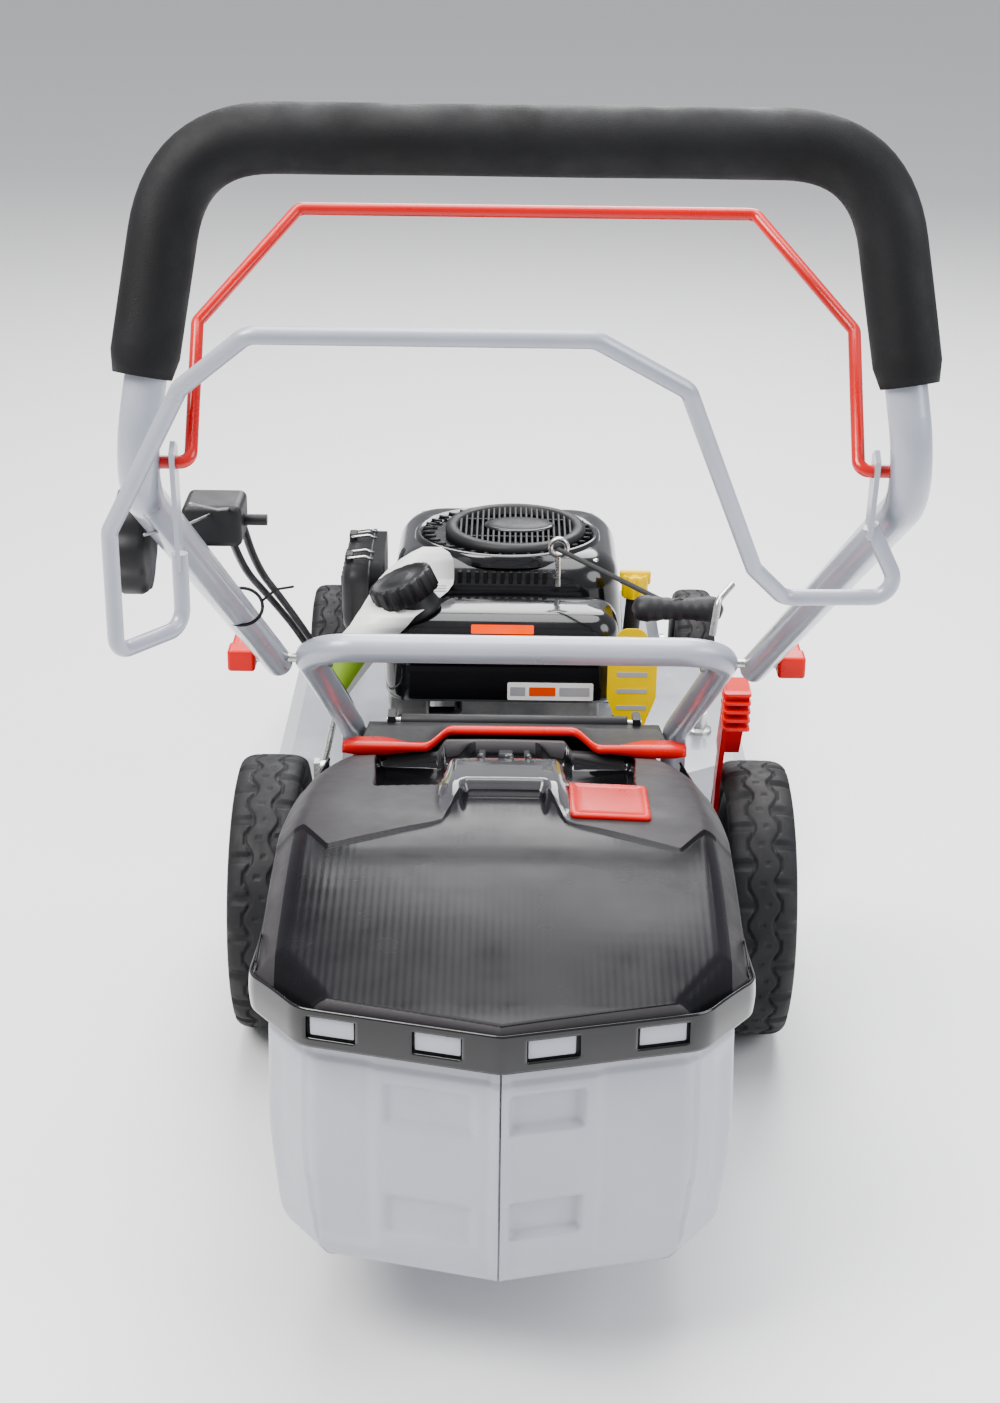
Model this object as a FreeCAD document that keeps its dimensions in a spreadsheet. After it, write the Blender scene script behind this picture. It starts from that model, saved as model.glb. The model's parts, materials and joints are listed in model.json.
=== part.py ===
import FreeCAD, Part
import math
import os
import re

import Sketcher

# Walk-behind petrol mower with a rear grass catcher.  Millimetres, +Z up, +Y forward, +X to the right.
# Every shape is drawn with the rear axle over y = 0 and the ground at z = 0, and each sub-part's
# placement then moves it by rear_axle_y, which puts the origin under the middle of the mower.

DIMENSIONS = {
    "rear_axle_y": 21.5,
    "wheelbase": 734,
    "rear_tyre_radius": 140,
    "rear_tyre_width": 66,
    "rear_track_half": 244,
    "front_tyre_radius": 100,
    "front_tyre_width": 50,
    "front_track_half": 237,
    "axle_radius": 6,
    "crank_back": 48.3,
    "crank_drop": 12.9,
    "deck_low": 34,
    "deck_top": 180,
    "deck_wall": 2,
    "deck_half": 266,
    "waist_half": 190,
    "crank_y": 350,
    "blade_radius": 228,
    "tube_radius": 12.5,
    "tube_bore": 11,
    "foot_half": 160,
    "joint_half": 185,
    "joint_y": -250,
    "joint_z": 508,
    "hinge_y": -222,
    "hinge_z": 487,
    "upper_joint_half": 211,
    "bend_half": 232,
    "bend_y": -775,
    "bend_z": 820,
    "top_half": 204,
    "top_y": -724,
    "top_z": 1013,
    "foam_radius": 20.5,
    "bail_y": -760,
    "bail_z": 828,
    "bag_half": 192,
    "bag_x": -9,
    "bag_rear": -612,
    "rim_z": 312,
    "bin_low": 96,
}

doc = FreeCAD.newDocument("mower")
dims = doc.addObject("Spreadsheet::Sheet", "dims")
for row, (alias, value) in enumerate(DIMENSIONS.items(), start=1):
    dims.set(f"A{row}", str(value))
    dims.setAlias(f"A{row}", alias)
doc.recompute()

V = FreeCAD.Vector
TURNS = {
    "Z": FreeCAD.Rotation(),
    "X": FreeCAD.Rotation(V(0, 1, 0), 90),
    "Y": FreeCAD.Rotation(V(1, 0, 0), -90),
}
CAP_TURN = FreeCAD.Rotation(V(0, 1, 0), -24)
RUN_SHARE = 0.45
sub_parts = []


def formula(text):
    """Point every dimension's name in an expression at its cell in the sheet."""
    return re.sub(r"[a-z_]{3,}", lambda word: "dims." + word.group(0) if word.group(0) in DIMENSIONS
                  else word.group(0), str(text))


def value(text):
    """An expression's number now."""
    return float(dims.evalExpression(formula(text)))


def place(thing, at, turn=None):
    """Moves a document object; a coordinate may be an expression."""
    thing.Placement = FreeCAD.Placement(V(), turn or FreeCAD.Rotation())
    for axis, text in zip("xyz", at):
        thing.setExpression("Placement.Base." + axis, formula(text))
    return thing


def keep(thing, label):
    """Make a finished shape a sub-part: its label names its file and its node."""
    expressions = dict(thing.ExpressionEngine)
    now = expressions.get("Placement.Base.y", expressions.get(".Placement.Base.y", "0"))
    thing.setExpression("Placement.Base.y", f"({now}) + dims.rear_axle_y")
    thing.Label = label
    sub_parts.append(thing)
    return thing


def cylinder(radius, length, at, axis="Z"):
    """A rod centred at a point, along one axis."""
    rod = doc.addObject("Part::Cylinder", "Rod")
    rod.setExpression("Radius", formula(radius))
    rod.setExpression("Height", formula(length))
    at = list(at)
    along = "XYZ".index(axis)
    at[along] = f"({at[along]}) - ({length}) / 2"
    return place(rod, at, TURNS[axis])


def block(low, high, round_edges=0):
    """A box between two corners, with its edges rounded if asked."""
    box = doc.addObject("Part::Box", "Block")
    for name, a, b in zip(("Length", "Width", "Height"), low, high):
        box.setExpression(name, formula(f"({b}) - ({a})"))
    place(box, low)
    if not round_edges:
        return box
    doc.recompute()
    rounded = doc.addObject("Part::Fillet", "RoundedBlock")
    rounded.Base = box
    rounded.Edges = [(i + 1, round_edges, round_edges) for i in range(12)]
    return rounded


def ring(radius, section, at, axis="Z"):
    """A torus centred at a point, for rings and eyelets."""
    torus = doc.addObject("Part::Torus", "Ring")
    torus.setExpression("Radius1", formula(radius))
    torus.setExpression("Radius2", formula(section))
    return place(torus, at, TURNS[axis])


def fuse(*things):
    """Several objects joined into one solid."""
    joined = doc.addObject("Part::MultiFuse", "Joined")
    joined.Shapes = list(things)
    return joined


def group(*things):
    """Several separate solids kept in one node."""
    together = doc.addObject("Part::Compound", "Group")
    together.Links = list(things)
    return together


def cut(base, *tools):
    """The base with every tool taken away."""
    left = doc.addObject("Part::Cut", "Cut")
    left.Base = base
    left.Tool = tools[0] if len(tools) == 1 else fuse(*tools)
    return left


def common(first, second):
    """What two objects share."""
    both = doc.addObject("Part::Common", "Common")
    both.Base = first
    both.Tool = second
    return both


def outline(body, plane, points):
    """A closed sketch on one of the body's own planes, with each corner bound to the sheet."""
    sketch = body.newObject("Sketcher::SketchObject", "Outline")
    support = [item for item in body.Origin.OriginFeatures if item.Role == plane + "_Plane"][0]
    sketch.AttachmentSupport = [(support, "")]
    sketch.MapMode = "FlatFace"
    numbers = [V(value(x), value(y), 0) for x, y in points]
    for i, corner in enumerate(numbers):
        sketch.addGeometry(Part.LineSegment(corner, numbers[(i + 1) % len(numbers)]))
    for i in range(len(numbers)):
        sketch.addConstraint(Sketcher.Constraint("Coincident", i, 2, (i + 1) % len(numbers), 1))
    for i, (x, y) in enumerate(points):
        for kind, text, number in (("DistanceX", x, numbers[i].x), ("DistanceY", y, numbers[i].y)):
            index = sketch.addConstraint(Sketcher.Constraint(kind, -1, 1, i, 1, number))
            sketch.setExpression(f"Constraints[{index}]", formula(text))
    return sketch


def prism(plane, points, length, at=(0, 0, 0), both_ways=True):
    """An outline on XY, XZ or YZ, made solid along the third axis."""
    body = doc.addObject("PartDesign::Body", "Body")
    sketch = outline(body, plane, points)
    pad = body.newObject("PartDesign::Pad", "Pad")
    pad.Profile = sketch
    pad.SideType = "Symmetric" if both_ways else "One side"
    pad.setExpression("Length", formula(length))
    return place(body, at)


def turned(profile, at, axis="Z", turn=None):
    """A radius-height profile turned about its own axis."""
    body = doc.addObject("PartDesign::Body", "Body")
    sketch = outline(body, "XZ", profile)
    revolution = body.newObject("PartDesign::Revolution", "Revolution")
    revolution.Profile = sketch
    revolution.ReferenceAxis = (sketch, ["V_Axis"])
    revolution.Angle = 360
    return place(body, at, turn or TURNS[axis])


def bent_path(points, bend, label=""):
    """Straight runs joined by tangent arcs of the bend radius, or by the largest arcs that fit if it is None."""
    corners = [V(*(value(c) for c in point)) for point in points]
    edges = []
    radii = []
    start = corners[0]
    for before, corner, after in zip(corners, corners[1:], corners[2:]):
        back = before - corner
        ahead = after - corner
        half_angle = back.getAngle(ahead) / 2
        if bend is None:
            tangent = RUN_SHARE * min(back.Length, ahead.Length)
        else:
            tangent = bend / math.tan(half_angle)
        radius = tangent * math.tan(half_angle)
        radii.append(round(radius))
        back.normalize()
        ahead.normalize()
        first = corner + back * tangent
        last = corner + ahead * tangent
        bisector = (back + ahead).normalize()
        centre = corner + bisector * (radius / math.sin(half_angle))
        middle = centre - bisector * radius
        edges.append(Part.LineSegment(start, first).toShape())
        edges.append(Part.Arc(first, middle, last).toShape())
        start = last
    edges.append(Part.LineSegment(start, corners[-1]).toShape())
    wire = Part.Wire(edges)
    if label:
        print(f"{label}: length {wire.Length:.0f} mm, bend radii {radii} mm")
    return wire


def swept(points, bend, radius, label=""):
    """A solid round bar along a bent path."""
    path = bent_path(points, bend, label)
    start = path.OrderedVertexes[0].Point
    direction = V(*(value(c) for c in points[1])) - V(*(value(c) for c in points[0]))
    circle = Part.Wire(Part.Circle(start, direction, radius).toShape())
    return path.makePipeShell([circle], True, True)


def feature(shape, name="Bar"):
    """A finished shape as a document object."""
    thing = doc.addObject("Part::Feature", name)
    thing.Shape = shape
    return thing


def bar(points, bend, radius):
    """A round bar as a document object."""
    return feature(swept(points, bend, radius))


def cable(points, radius, name):
    """A sheathed cable with arcs as large as its runs allow; its length and radii are printed."""
    keep(feature(swept(points, None, radius, name), "Cable"), name)


def hollow_tube(points, bend):
    """A tube of the handle section along a path."""
    outer = swept(points, bend, value("tube_radius"))
    inner = swept(points, bend, value("tube_bore"))
    return feature(outer.cut(inner), "Tube")


def mirrored_x(points):
    """A path over the middle: the given left half, then its mirror image."""
    return points + [(f"-({x})", y, z) for x, y, z in reversed(points)]


# ---------------------------------------------------------------- deck and chute
def deck():
    """Pressed deck shell, the chute behind it and the hose nipple."""
    half = [("waist_half", "-58"), ("waist_half", "190"), ("deck_half", "240"), ("deck_half", "565"),
            ("waist_half", "620"), ("waist_half", "795"), ("waist_half - 70", "830")]
    whole = half + [(f"-({x})", y) for x, y in reversed(half)]
    pan = doc.addObject("PartDesign::Body", "Body")
    sketch = outline(pan, "XY", whole)
    pad = pan.newObject("PartDesign::Pad", "Pad")
    pad.Profile = sketch
    pad.setExpression("Length", formula("deck_top - deck_low"))
    doc.recompute()
    top = max(enumerate(pad.Shape.Faces, start=1), key=lambda item: item[1].CenterOfMass.z)
    rim = pan.newObject("PartDesign::Chamfer", "Chamfer")
    rim.Base = (pad, [f"Face{top[0]}"])
    rim.Size = 18
    doc.recompute()
    under = min(enumerate(rim.Shape.Faces, start=1), key=lambda item: item[1].CenterOfMass.z)
    shell = pan.newObject("PartDesign::Thickness", "Thickness")
    shell.Base = (rim, [f"Face{under[0]}"])
    shell.setExpression("Value", formula("deck_wall"))
    shell.Reversed = True
    place(pan, (0, 0, "deck_low"))
    holes = [
        block((-300, -70, 0), (300, 75, "deck_top - 20")),
        block((-124, 78, 120), (124, 150, 200)),
        cylinder(46, 60, (0, "crank_y", "deck_top")),
        cylinder("axle_radius + 0.5", 440, (0, "wheelbase + crank_back", "100 + crank_drop"), "X"),
        cylinder(6, 30, (215, 330, "deck_top")),
    ]
    keep(cut(pan, *holes), "deck_shell")
    wall = [("-62", "188"), ("-62", "316"), ("8", "316"), ("75", "290"), ("154", "184"), ("154", "181"),
            ("72", "181"), ("62", "188")]
    duct = [("-70", "192"), ("-70", "312"), ("7", "312"), ("72", "287"), ("150", "183"), ("150", "170"),
            ("76", "170"), ("62", "192")]
    lugs = [block((f"{x} - 4", 4, 306), (f"{x} + 4", 24, 334)) for x in (122, -122)]
    pin_hole = cylinder(3.55, 300, (0, 14, 326), "X")
    keep(cut(fuse(prism("YZ", wall, 256), *lugs), prism("YZ", duct, 248), pin_hole), "rear_chute")
    keep(cylinder(3.5, 254, (0, 14, 326), "X"), "flap_pin")
    plates = [block((f"{x} - 3", 30, 142), (f"{x} + 3", 66, 177.8)) for x in (164, -164)]
    rod = cylinder("axle_radius + 0.05", 400, (0, "crank_back", "rear_tyre_radius + crank_drop"), "X")
    keep(cut(group(*plates), rod), "axle_brackets")
    nipple = [(0, 0), (14, 0), (14, 4), (8.5, 6), (8.5, 24), (4, 24), (4, 4), (0, 4)]
    keep(turned(nipple, (215, 330, "deck_top")), "wash_port")


# ---------------------------------------------------------------- wheels and height adjustment
def tyre(label, side, y, z, radius, width, track):
    """A tyre with rounded shoulders and a bore for its rim."""
    profile = [(f"{radius} - 30", f"-{width} / 2 + 8"), (f"{radius} - 10", f"-{width} / 2"),
               (f"{radius}", f"-{width} / 2 + 9"), (f"{radius}", f"{width} / 2 - 9"),
               (f"{radius} - 10", f"{width} / 2"), (f"{radius} - 30", f"{width} / 2 - 8")]
    keep(turned(profile, (f"{side} * {track}", y, z), "X"), label)


def rim(side, y, z, radius, width, track):
    """A rim with a web and a hub bored for its bearing."""
    flange = f"{radius} - 30.2"
    profile = [("axle_radius + 4.1", f"-{width} / 2 + 12"), ("24", f"-{width} / 2 + 12"), ("26", "-4"),
               (f"{flange} - 8", "-4"), (flange, f"-{width} / 2 + 8"), (flange, f"{width} / 2 - 8"),
               (f"{flange} - 8", "4"), ("26", "4"), ("24", f"{width} / 2 - 12"),
               ("axle_radius + 4.1", f"{width} / 2 - 12")]
    return turned(profile, (f"{side} * {track}", y, z), "X")


def bearing(side, y, z, width, track):
    """A plain bush between hub and axle."""
    at = (f"{side} * {track}", y, z)
    return cut(cylinder("axle_radius + 4", f"{width} - 24", at, "X"),
               cylinder("axle_radius + 0.05", f"{width}", at, "X"))


def wheel_set(end, y, z, radius, width, track):
    """Both wheels of one axle, each rim with its bush and hub cap."""
    for name, side in (("left", -1), ("right", 1)):
        tyre(f"{end}_tyre_{name}", side, y, z, radius, width, track)
        outer = f"{side} * ({track} + {width} / 2 - 4)"
        cap = [(0, 0), (30, 0), (27, 6), (0, 7)] if end == "rear" else [(0, 0), (24, 0), (21, 5), (0, 6)]
        turn = FreeCAD.Rotation(V(0, 1, 0), 90 * side)
        pieces = (rim(side, y, z, radius, width, track), bearing(side, y, z, width, track),
                  turned(cap, (outer, y, z), turn=turn))
        keep(group(*pieces), f"{end}_rim_{name}")


def axle_crank(end, y, z, track, width):
    """One bar across the deck, an arm outside each side, and a stub axle behind and below it."""
    pivot_y = f"{y} + crank_back"
    pivot_z = f"{z} + crank_drop"
    bars = [cylinder("axle_radius", "2 * waist_half + 20", (0, pivot_y, pivot_z), "X")]
    for side in (-1, 1):
        inner = f"{side} * 201"
        stub = f"{track} + {width} / 2 - 6 - 198"
        bars.append(cylinder("axle_radius", stub, (f"{side} * (198 + ({stub}) / 2)", y, z), "X"))
        arm = [(f"{y} - 10", f"{z} - 9"), (f"{y} - 10", f"{z} + 9"), (f"{pivot_y} - 6", f"{pivot_z} + 12"),
               (f"{pivot_y} + 10", f"{pivot_z} + 8"), (f"{pivot_y} + 10", f"{pivot_z} - 10")]
        bars.append(prism("YZ", arm, 6, (inner, 0, 0)))
    raised = [(f"{pivot_y} - 8", pivot_z), (f"{pivot_y} + 8", pivot_z),
              (f"{pivot_y} + 7", f"{pivot_z} + 112"),
              (f"{pivot_y} - 7", f"{pivot_z} + 112")]
    bars.append(prism("YZ", raised, 6, (-201, 0, 0)))
    bars.append(cylinder(4, 10, (-195, pivot_y, f"{pivot_z} + 104"), "X"))
    return bars


def running_gear():
    """Axle cranks, wheels, gearbox and drive axle."""
    rear = ("0", "rear_tyre_radius", "rear_tyre_radius", "rear_tyre_width", "rear_track_half")
    front = ("wheelbase", "front_tyre_radius", "front_tyre_radius", "front_tyre_width", "front_track_half")
    wheel_set("rear", *rear)
    wheel_set("front", *front)
    keep(fuse(*axle_crank("rear", "0", "rear_tyre_radius", "rear_track_half", "rear_tyre_width")),
         "rear_axle_crank")
    keep(fuse(*axle_crank("front", "wheelbase", "front_tyre_radius", "front_track_half",
                          "front_tyre_width")), "front_axle_crank")
    case = block((-45, -36, 112), (45, 34, 156), 6)
    drive = cylinder("axle_radius + 0.05", 120, (0, 0, "rear_tyre_radius"), "X")
    keep(cut(case, drive), "gearbox")
    keep(cylinder("axle_radius", 396, (0, 0, "rear_tyre_radius"), "X"), "drive_axle")
    groove = [(0, -6), (37, -6), (30, 0), (37, 6), (0, 6)]
    keep(fuse(turned(groove, (0, 0, 166)), cylinder(5, 4, (0, 0, 158.2))), "gearbox_pulley")


def height_lever():
    """Red lever on the right end of the rear crank, leaning back over the wheel's inner side."""
    blade = [("36", "150"), ("58", "160"), ("34", "265"), ("-12", "352"), ("-26", "344"), ("16", "258")]
    arm = prism("YZ", blade, 5, (207, 0, 0))
    grip = prism("YZ", [("22", "292"), ("34", "300"), ("-22", "392"), ("-44", "380")], 22, (216, 0, 0))
    boss = cylinder("axle_radius", 7.4, (208, "crank_back", "rear_tyre_radius + crank_drop"), "X")
    return arm, grip, boss


# ---------------------------------------------------------------- engine
def rounded_shell(low, high, corner, wall):
    """A cover with rounded upright corners, open below."""
    def solid(grow):
        lo = [f"({c}) + {grow}" for c in low[:2]] + [low[2]]
        hi = [f"({c}) - {grow}" for c in high]
        box = block(lo, hi)
        doc.recompute()
        rounded = doc.addObject("Part::Fillet", "RoundedCover")
        rounded.Base = box
        upright = [i + 1 for i, edge in enumerate(box.Shape.Edges)
                   if abs(edge.tangentAt(edge.FirstParameter).z) > 0.9]
        top = [i + 1 for i, edge in enumerate(box.Shape.Edges)
               if i + 1 not in upright and edge.CenterOfMass.z > box.Shape.CenterOfMass.z]
        rounded.Edges = ([(i, corner - grow, corner - grow) for i in upright]
                         + [(i, 24 - grow, 24 - grow) for i in top])
        return rounded
    return solid(0), solid(wall)


def engine():
    """Engine with its covers, tank, shaft, fan, blade and drive belt."""
    case = block((-88, 262, "deck_top + 0.2"), (96, 438, 262), 12)
    bore = cylinder(11.05, 200, (0, "crank_y", 230))
    keep(cut(case, bore), "crankcase")
    barrel = [block((-42, 438.2, 190), (42, 500, 258))]
    fins = [block((-52, f"446 + {i} * 9", 184), (52, f"449 + {i} * 9", 262)) for i in range(6)]
    cover = block((-40, 500.2, 194), (40, 516, 254), 4)
    keep(group(fuse(*barrel, *fins), cover), "cylinder")
    keep(fuse(cylinder(6, 22, (0, 527.2, 224), "Y"), cylinder(10, 12, (0, 538, 224), "Y")), "spark_plug")
    keep(block((62, 452, 186), (150, 516, 246), 14), "muffler")
    outer, inner = rounded_shell((-142, 246, 264), (124, 478, 414), 60, 3)
    neck = cylinder(79, 40, (0, "crank_y", 414))
    keep(cut(outer, inner, neck), "blower_housing")
    disc = doc.addObject("PartDesign::Body", "Body")
    sketch = outline(disc, "XZ", [(0, 0), (78.5, 0), (78.5, 6), (70, 11), (0, 13)])
    spin = disc.newObject("PartDesign::Revolution", "Revolution")
    spin.Profile = sketch
    spin.ReferenceAxis = (sketch, ["V_Axis"])
    doc.recompute()
    slot_sketch = outline(disc, "XY", [(30, -3), (62, -5), (62, 5), (30, 3)])
    slot = disc.newObject("PartDesign::Pocket", "Slot")
    slot.Profile = slot_sketch
    slot.Type = "ThroughAll"
    slot.SideType = "Symmetric"
    doc.recompute()
    slots = disc.newObject("PartDesign::PolarPattern", "Slots")
    slots.Originals = [slot]
    slots.Axis = (slot_sketch, ["N_Axis"])
    slots.Angle = 360
    slots.Occurrences = 18
    disc.Tip = slots
    place(disc, (0, "crank_y", 411))
    keep(disc, "cooling_grille")
    tank_outer = block((-140, 150, 284), (114, 242, 386), 22)
    cap_neck = place(doc.addObject("Part::Cylinder", "Neck"), (-104, 184, 372), CAP_TURN)
    cap_neck.Radius = 22
    cap_neck.Height = 26
    keep(fuse(tank_outer, cap_neck), "fuel_tank")
    cap = [(0, 0), (36, 0), (36, 16), (28, 22), (0, 24)]
    keep(turned(cap, (-115, 184, 396.8), turn=CAP_TURN), "fuel_cap")
    cover = block((-192, 252, 312), (-144, 404, 400), 14)
    clips = [block((-182, f"{y} - 9", 400.2), (-158, f"{y} + 9", 406)) for y in (285, 370)]
    keep(group(cover, *clips), "air_cleaner_cover")
    keep(block((-136, 196, 222), (-92, 244, 278), 5), "carburettor")
    hose = [(-60, 196, 283.8), (-60, 196, 262), (-60, 218, 250), (-91.8, 218, 250)]
    keep(bar(hose, 9, 4), "fuel_hose")
    dip = [(108, 262, 212), (120, 256, 226), (130, 250, 372)]
    keep(bar(dip, 9, 9), "dipstick_tube")
    cap = [(0, 0), (15, 0), (15, 10), (6, 12), (6, 24), (0, 24)]
    keep(fuse(turned(cap, (130, 250, 374)), block((112, 246, 385), (148, 254, 401), 3)), "oil_cap")
    keep(cylinder(11, 344, (0, "crank_y", 231)), "crankshaft")
    wheel = [(11.15, 0), (70, 0), (84, 26), (84, 30), (40, 30), (30, 20), (11.15, 20)]
    keep(turned(wheel, (0, "crank_y", 300)), "flywheel_fan")
    hub = [(11.02, 44), (34, 44), (34, 50), (20, 54), (20, 160), (28, 160), (22, 166), (28, 172),
           (11.02, 172)]
    bolt = fuse(cylinder(5, 20, (0, "crank_y", 48)), cylinder(13, 5, (0, "crank_y", 37.2)))
    keep(group(turned(hub, (0, "crank_y", 0)), bolt), "blade_adapter")
    long_edge = [("-blade_radius + 8", -26), ("blade_radius - 60", -26), ("blade_radius - 8", -18),
                 ("blade_radius - 8", 26), ("-blade_radius + 60", 26), ("-blade_radius + 8", 18)]
    flat = prism("XY", long_edge, 4, (0, "crank_y", 41.8))
    keep(cut(flat, cylinder(5.05, 20, (0, "crank_y", 42))), "blade")
    belt_z = 166
    runs = [cylinder(3, "crank_y - 45", (f"{side} * 31", "crank_y / 2 + 17.5", belt_z), "Y")
            for side in (-1, 1)]
    keep(group(*runs), "drive_belt")


# ---------------------------------------------------------------- handle
def handle():
    """Lower and upper tubes, their brackets and bolts, and the foam grip."""
    foot = [("-foot_half", "20", "206"), ("-foot_half", "10", "318"), ("-joint_half", "joint_y", "joint_z")]
    hinge_hole = cylinder(4.3, 600, (0, "hinge_y", "hinge_z"), "X")
    keep(cut(hollow_tube(mirrored_x(foot), 40), hinge_hole), "lower_handle")
    brackets = [block((f"{side} * 138 - 9.3", -8, 196), (f"{side} * 138 + 9.3", 44, 270))
                for side in (1, -1)]
    keep(group(*brackets), "handle_brackets")
    bolts = []
    for side in (-1, 1):
        for z in (226, 252):
            bolts.append(cylinder(6.5, 5, (f"{side} * 175.2", "17.5", z), "X"))
    for side in (-1, 1):
        shank = cylinder(4, 67, (f"{side} * 196.5", "hinge_y", "hinge_z"), "X")
        bolts.append(fuse(shank, cylinder(8, 4, (f"{side} * 163", "hinge_y", "hinge_z"), "X")))
    keep(group(*bolts), "handle_bolts")
    leg = [("-upper_joint_half", "-198", "473"), ("-bend_half", "bend_y", "bend_z"),
           ("-top_half", "top_y", "top_z")]
    bail_hole = cylinder(4.3, 448, (0, "bail_y", "bail_z"), "X")
    keep(cut(hollow_tube(mirrored_x(leg), 58), hinge_hole, bail_hole), "upper_handle")
    grip = [("-224", "-755", "888"), ("-top_half", "top_y", "top_z")]
    outer = swept(mirrored_x(grip), 58, value("foam_radius"))
    core = swept(mirrored_x(leg), 58, value("tube_radius + 0.3"))
    keep(feature(outer.cut(core), "Foam"), "foam_grip")


def bails():
    """Stop bail in front of the grip and drive bail behind it, both turning on the stop bail's ends."""
    stop = [("-223", "bail_y", "bail_z"), ("-199", "bail_y", "bail_z"),
            ("-202", "bail_y + 75", "bail_z + 67"), ("-144", "bail_y + 139", "bail_z + 125")]
    keep(bar(mirrored_x(stop), 7, 4), "stop_bail")
    left = [("-209.3", "bail_y + 8", "bail_z - 60"), ("-209.3", "bail_y + 8", "bail_z - 108"),
            ("-242", "bail_y - 42", "bail_z - 106"), ("-240", "bail_y - 54", "bail_z - 26"),
            ("-190", "bail_y - 92", "bail_z + 70"), ("-150", "bail_y - 112", "bail_z + 105")]
    right = [("36", "bail_y - 112", "bail_z + 105"), ("88", "bail_y - 94", "bail_z + 73"),
             ("138", "bail_y - 18", "bail_z - 56"), ("160", "bail_y + 6", "bail_z - 83"),
             ("234", "bail_y + 12", "bail_z - 84"), ("210", "bail_y + 6", "bail_z - 36")]
    rod = bar(left + right, 12, 5)
    plates = []
    for side, low in ((-1, 70), (1, 44)):
        strip = [("bail_y - 9", "bail_z + 8"), ("bail_y", "bail_z + 13"), ("bail_y + 9", "bail_z + 8"),
                 ("bail_y + 15", f"bail_z - {low}"), ("bail_y + 1", f"bail_z - {low}")]
        plates.append(prism("YZ", strip, 3, (f"{side} * 209.3", 0, 0)))
    hole = cylinder(4.2, 430, (0, "bail_y", "bail_z"), "X")
    keep(cut(fuse(rod, *plates), hole), "drive_bail")


def joint_hardware():
    """A quick-release cam at each fold of the handle."""
    for name, side in (("left", -1), ("right", 1)):
        hub = block((f"{side} * 240 - 12", "hinge_y - 11", "hinge_z - 10"),
                    (f"{side} * 240 + 12", "hinge_y + 11", "hinge_z + 10"), 3)
        arm = block((f"{side} * 246 - 5", "hinge_y + 4", "hinge_z - 7"),
                    (f"{side} * 246 + 5", "hinge_y + 66", "hinge_z + 7"), 3)
        hole = cylinder(4.05, 30, (f"{side} * 222", "hinge_y", "hinge_z"), "X")
        keep(cut(fuse(hub, arm), hole), f"quick_release_{name}")


def controls():
    """Cable bracket, control housing and both sheathed cables."""
    clamp = block((-238, -552, 702), (-196, -508, 732), 5)
    keep(group(clamp, cylinder(4, 15.8, (-188, -530, 716), "X")), "cable_bracket")
    keep(cylinder(36, 22, (-256, -640, 737), "X"), "control_housing")
    stop = [(-204, -502, 713), (-204, -400, 634), (-196, -290, 566), (-183, -205, 501), (-172, -90, 417),
            (-163, 6, 349), (-156, 50, 300), (-140, 112, 262), (-124, 194, 250)]
    cable(stop, 3, "stop_cable")
    drive = [(-216, -502, 711), (-214, -400, 632), (-208, -300, 575), (-194, -205, 508), (-181, -90, 420),
             (-174, 4, 352), (-172, 54, 296), (-160, 72, 236), (-160, 72, 182)]
    cable(drive, 3, "drive_cable")


def starter():
    """Rope, grip and the two guides that the rope passes."""
    cable([(46, 229, 434), (140, -146, 511.5)], 2, "starter_rope")
    keep(bar([(108, -148, 528), (180, -172, 500)], 1, 11), "starter_grip")
    guide = [(168, -245, 522), (172, -240, 552), (186, -212, 556)]
    eyelet = fuse(ring(9, 3, (46, 236, 434), "Y"), cylinder(3, 36, (46, 236, 408)),
                  cylinder(3, 12, (46, 240, 400), "Y"))
    keep(group(bar(guide, 8, 3), eyelet), "rope_guides")


def tags():
    """Two cards: one hooked round the filler neck, one behind the dipstick tube."""
    hanging = [(-198, 300), (-176, 290), (-98, 388), (-165, 388), (-190, 352)]
    lying = [(-165, 139.6), (-98, 139.6), (-66, 243.4), (-150, 243.4)]
    standing = [(-150, 387), (-66, 387), (-66, 418), (-84, 430), (-102, 430)]
    paper = fuse(prism("XZ", hanging, 0.8, (0, 140, 0)), prism("XY", lying, 0.8, (0, 0, 387.6)),
                 prism("XZ", standing, 0.8, (0, 243, 0)))
    cap_room = place(doc.addObject("Part::Cylinder", "CapRoom"), (-82, 184, 323), CAP_TURN)
    cap_room.Radius = 38
    cap_room.Height = 120
    white_tag = cut(paper, cap_room)
    yellow = [(112, 262), (136, 262), (150, 300), (150, 350), (134, 378), (110, 378), (98, 350), (98, 300)]
    keep(group(white_tag, prism("XZ", yellow, 1.2, (0, 142, 0))), "tags")


# ---------------------------------------------------------------- flap and grass catcher
def rear_flap():
    """Spring flap over the chute, on a pin."""
    plate = [("-2", "321"), ("-2", "329"), ("-60", "333"), ("-84", "346"), ("-90", "346"), ("-90", "342"),
             ("-62", "328")]
    neck = [("14", "323"), ("14", "329"), ("-4", "329"), ("-4", "321.5")]
    knuckle = cylinder(7, 226, (0, 14, 326), "X")
    body = fuse(prism("YZ", plate, 290), prism("YZ", neck, 226), knuckle)
    keep(cut(body, cylinder(3.6, 300, (0, 14, 326), "X")), "rear_flap")


def plan(grow):
    """The catcher seen from above, grown or shrunk sideways and rearwards."""
    half = [(f"bag_half - 30 + {grow}", "-66"), (f"bag_half - 7 + {grow}", "-200"),
            (f"bag_half + {grow}", "-330"), (f"bag_half + {grow}", "-520"),
            (f"bag_half - 40 + {grow}", f"bag_rear + 37 - {grow}"), ("1", f"bag_rear - {grow}")]
    right = [(f"bag_x + {x}", y) for x, y in half]
    return right + [(f"bag_x - ({x})", y) for x, y in reversed(half)]


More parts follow.
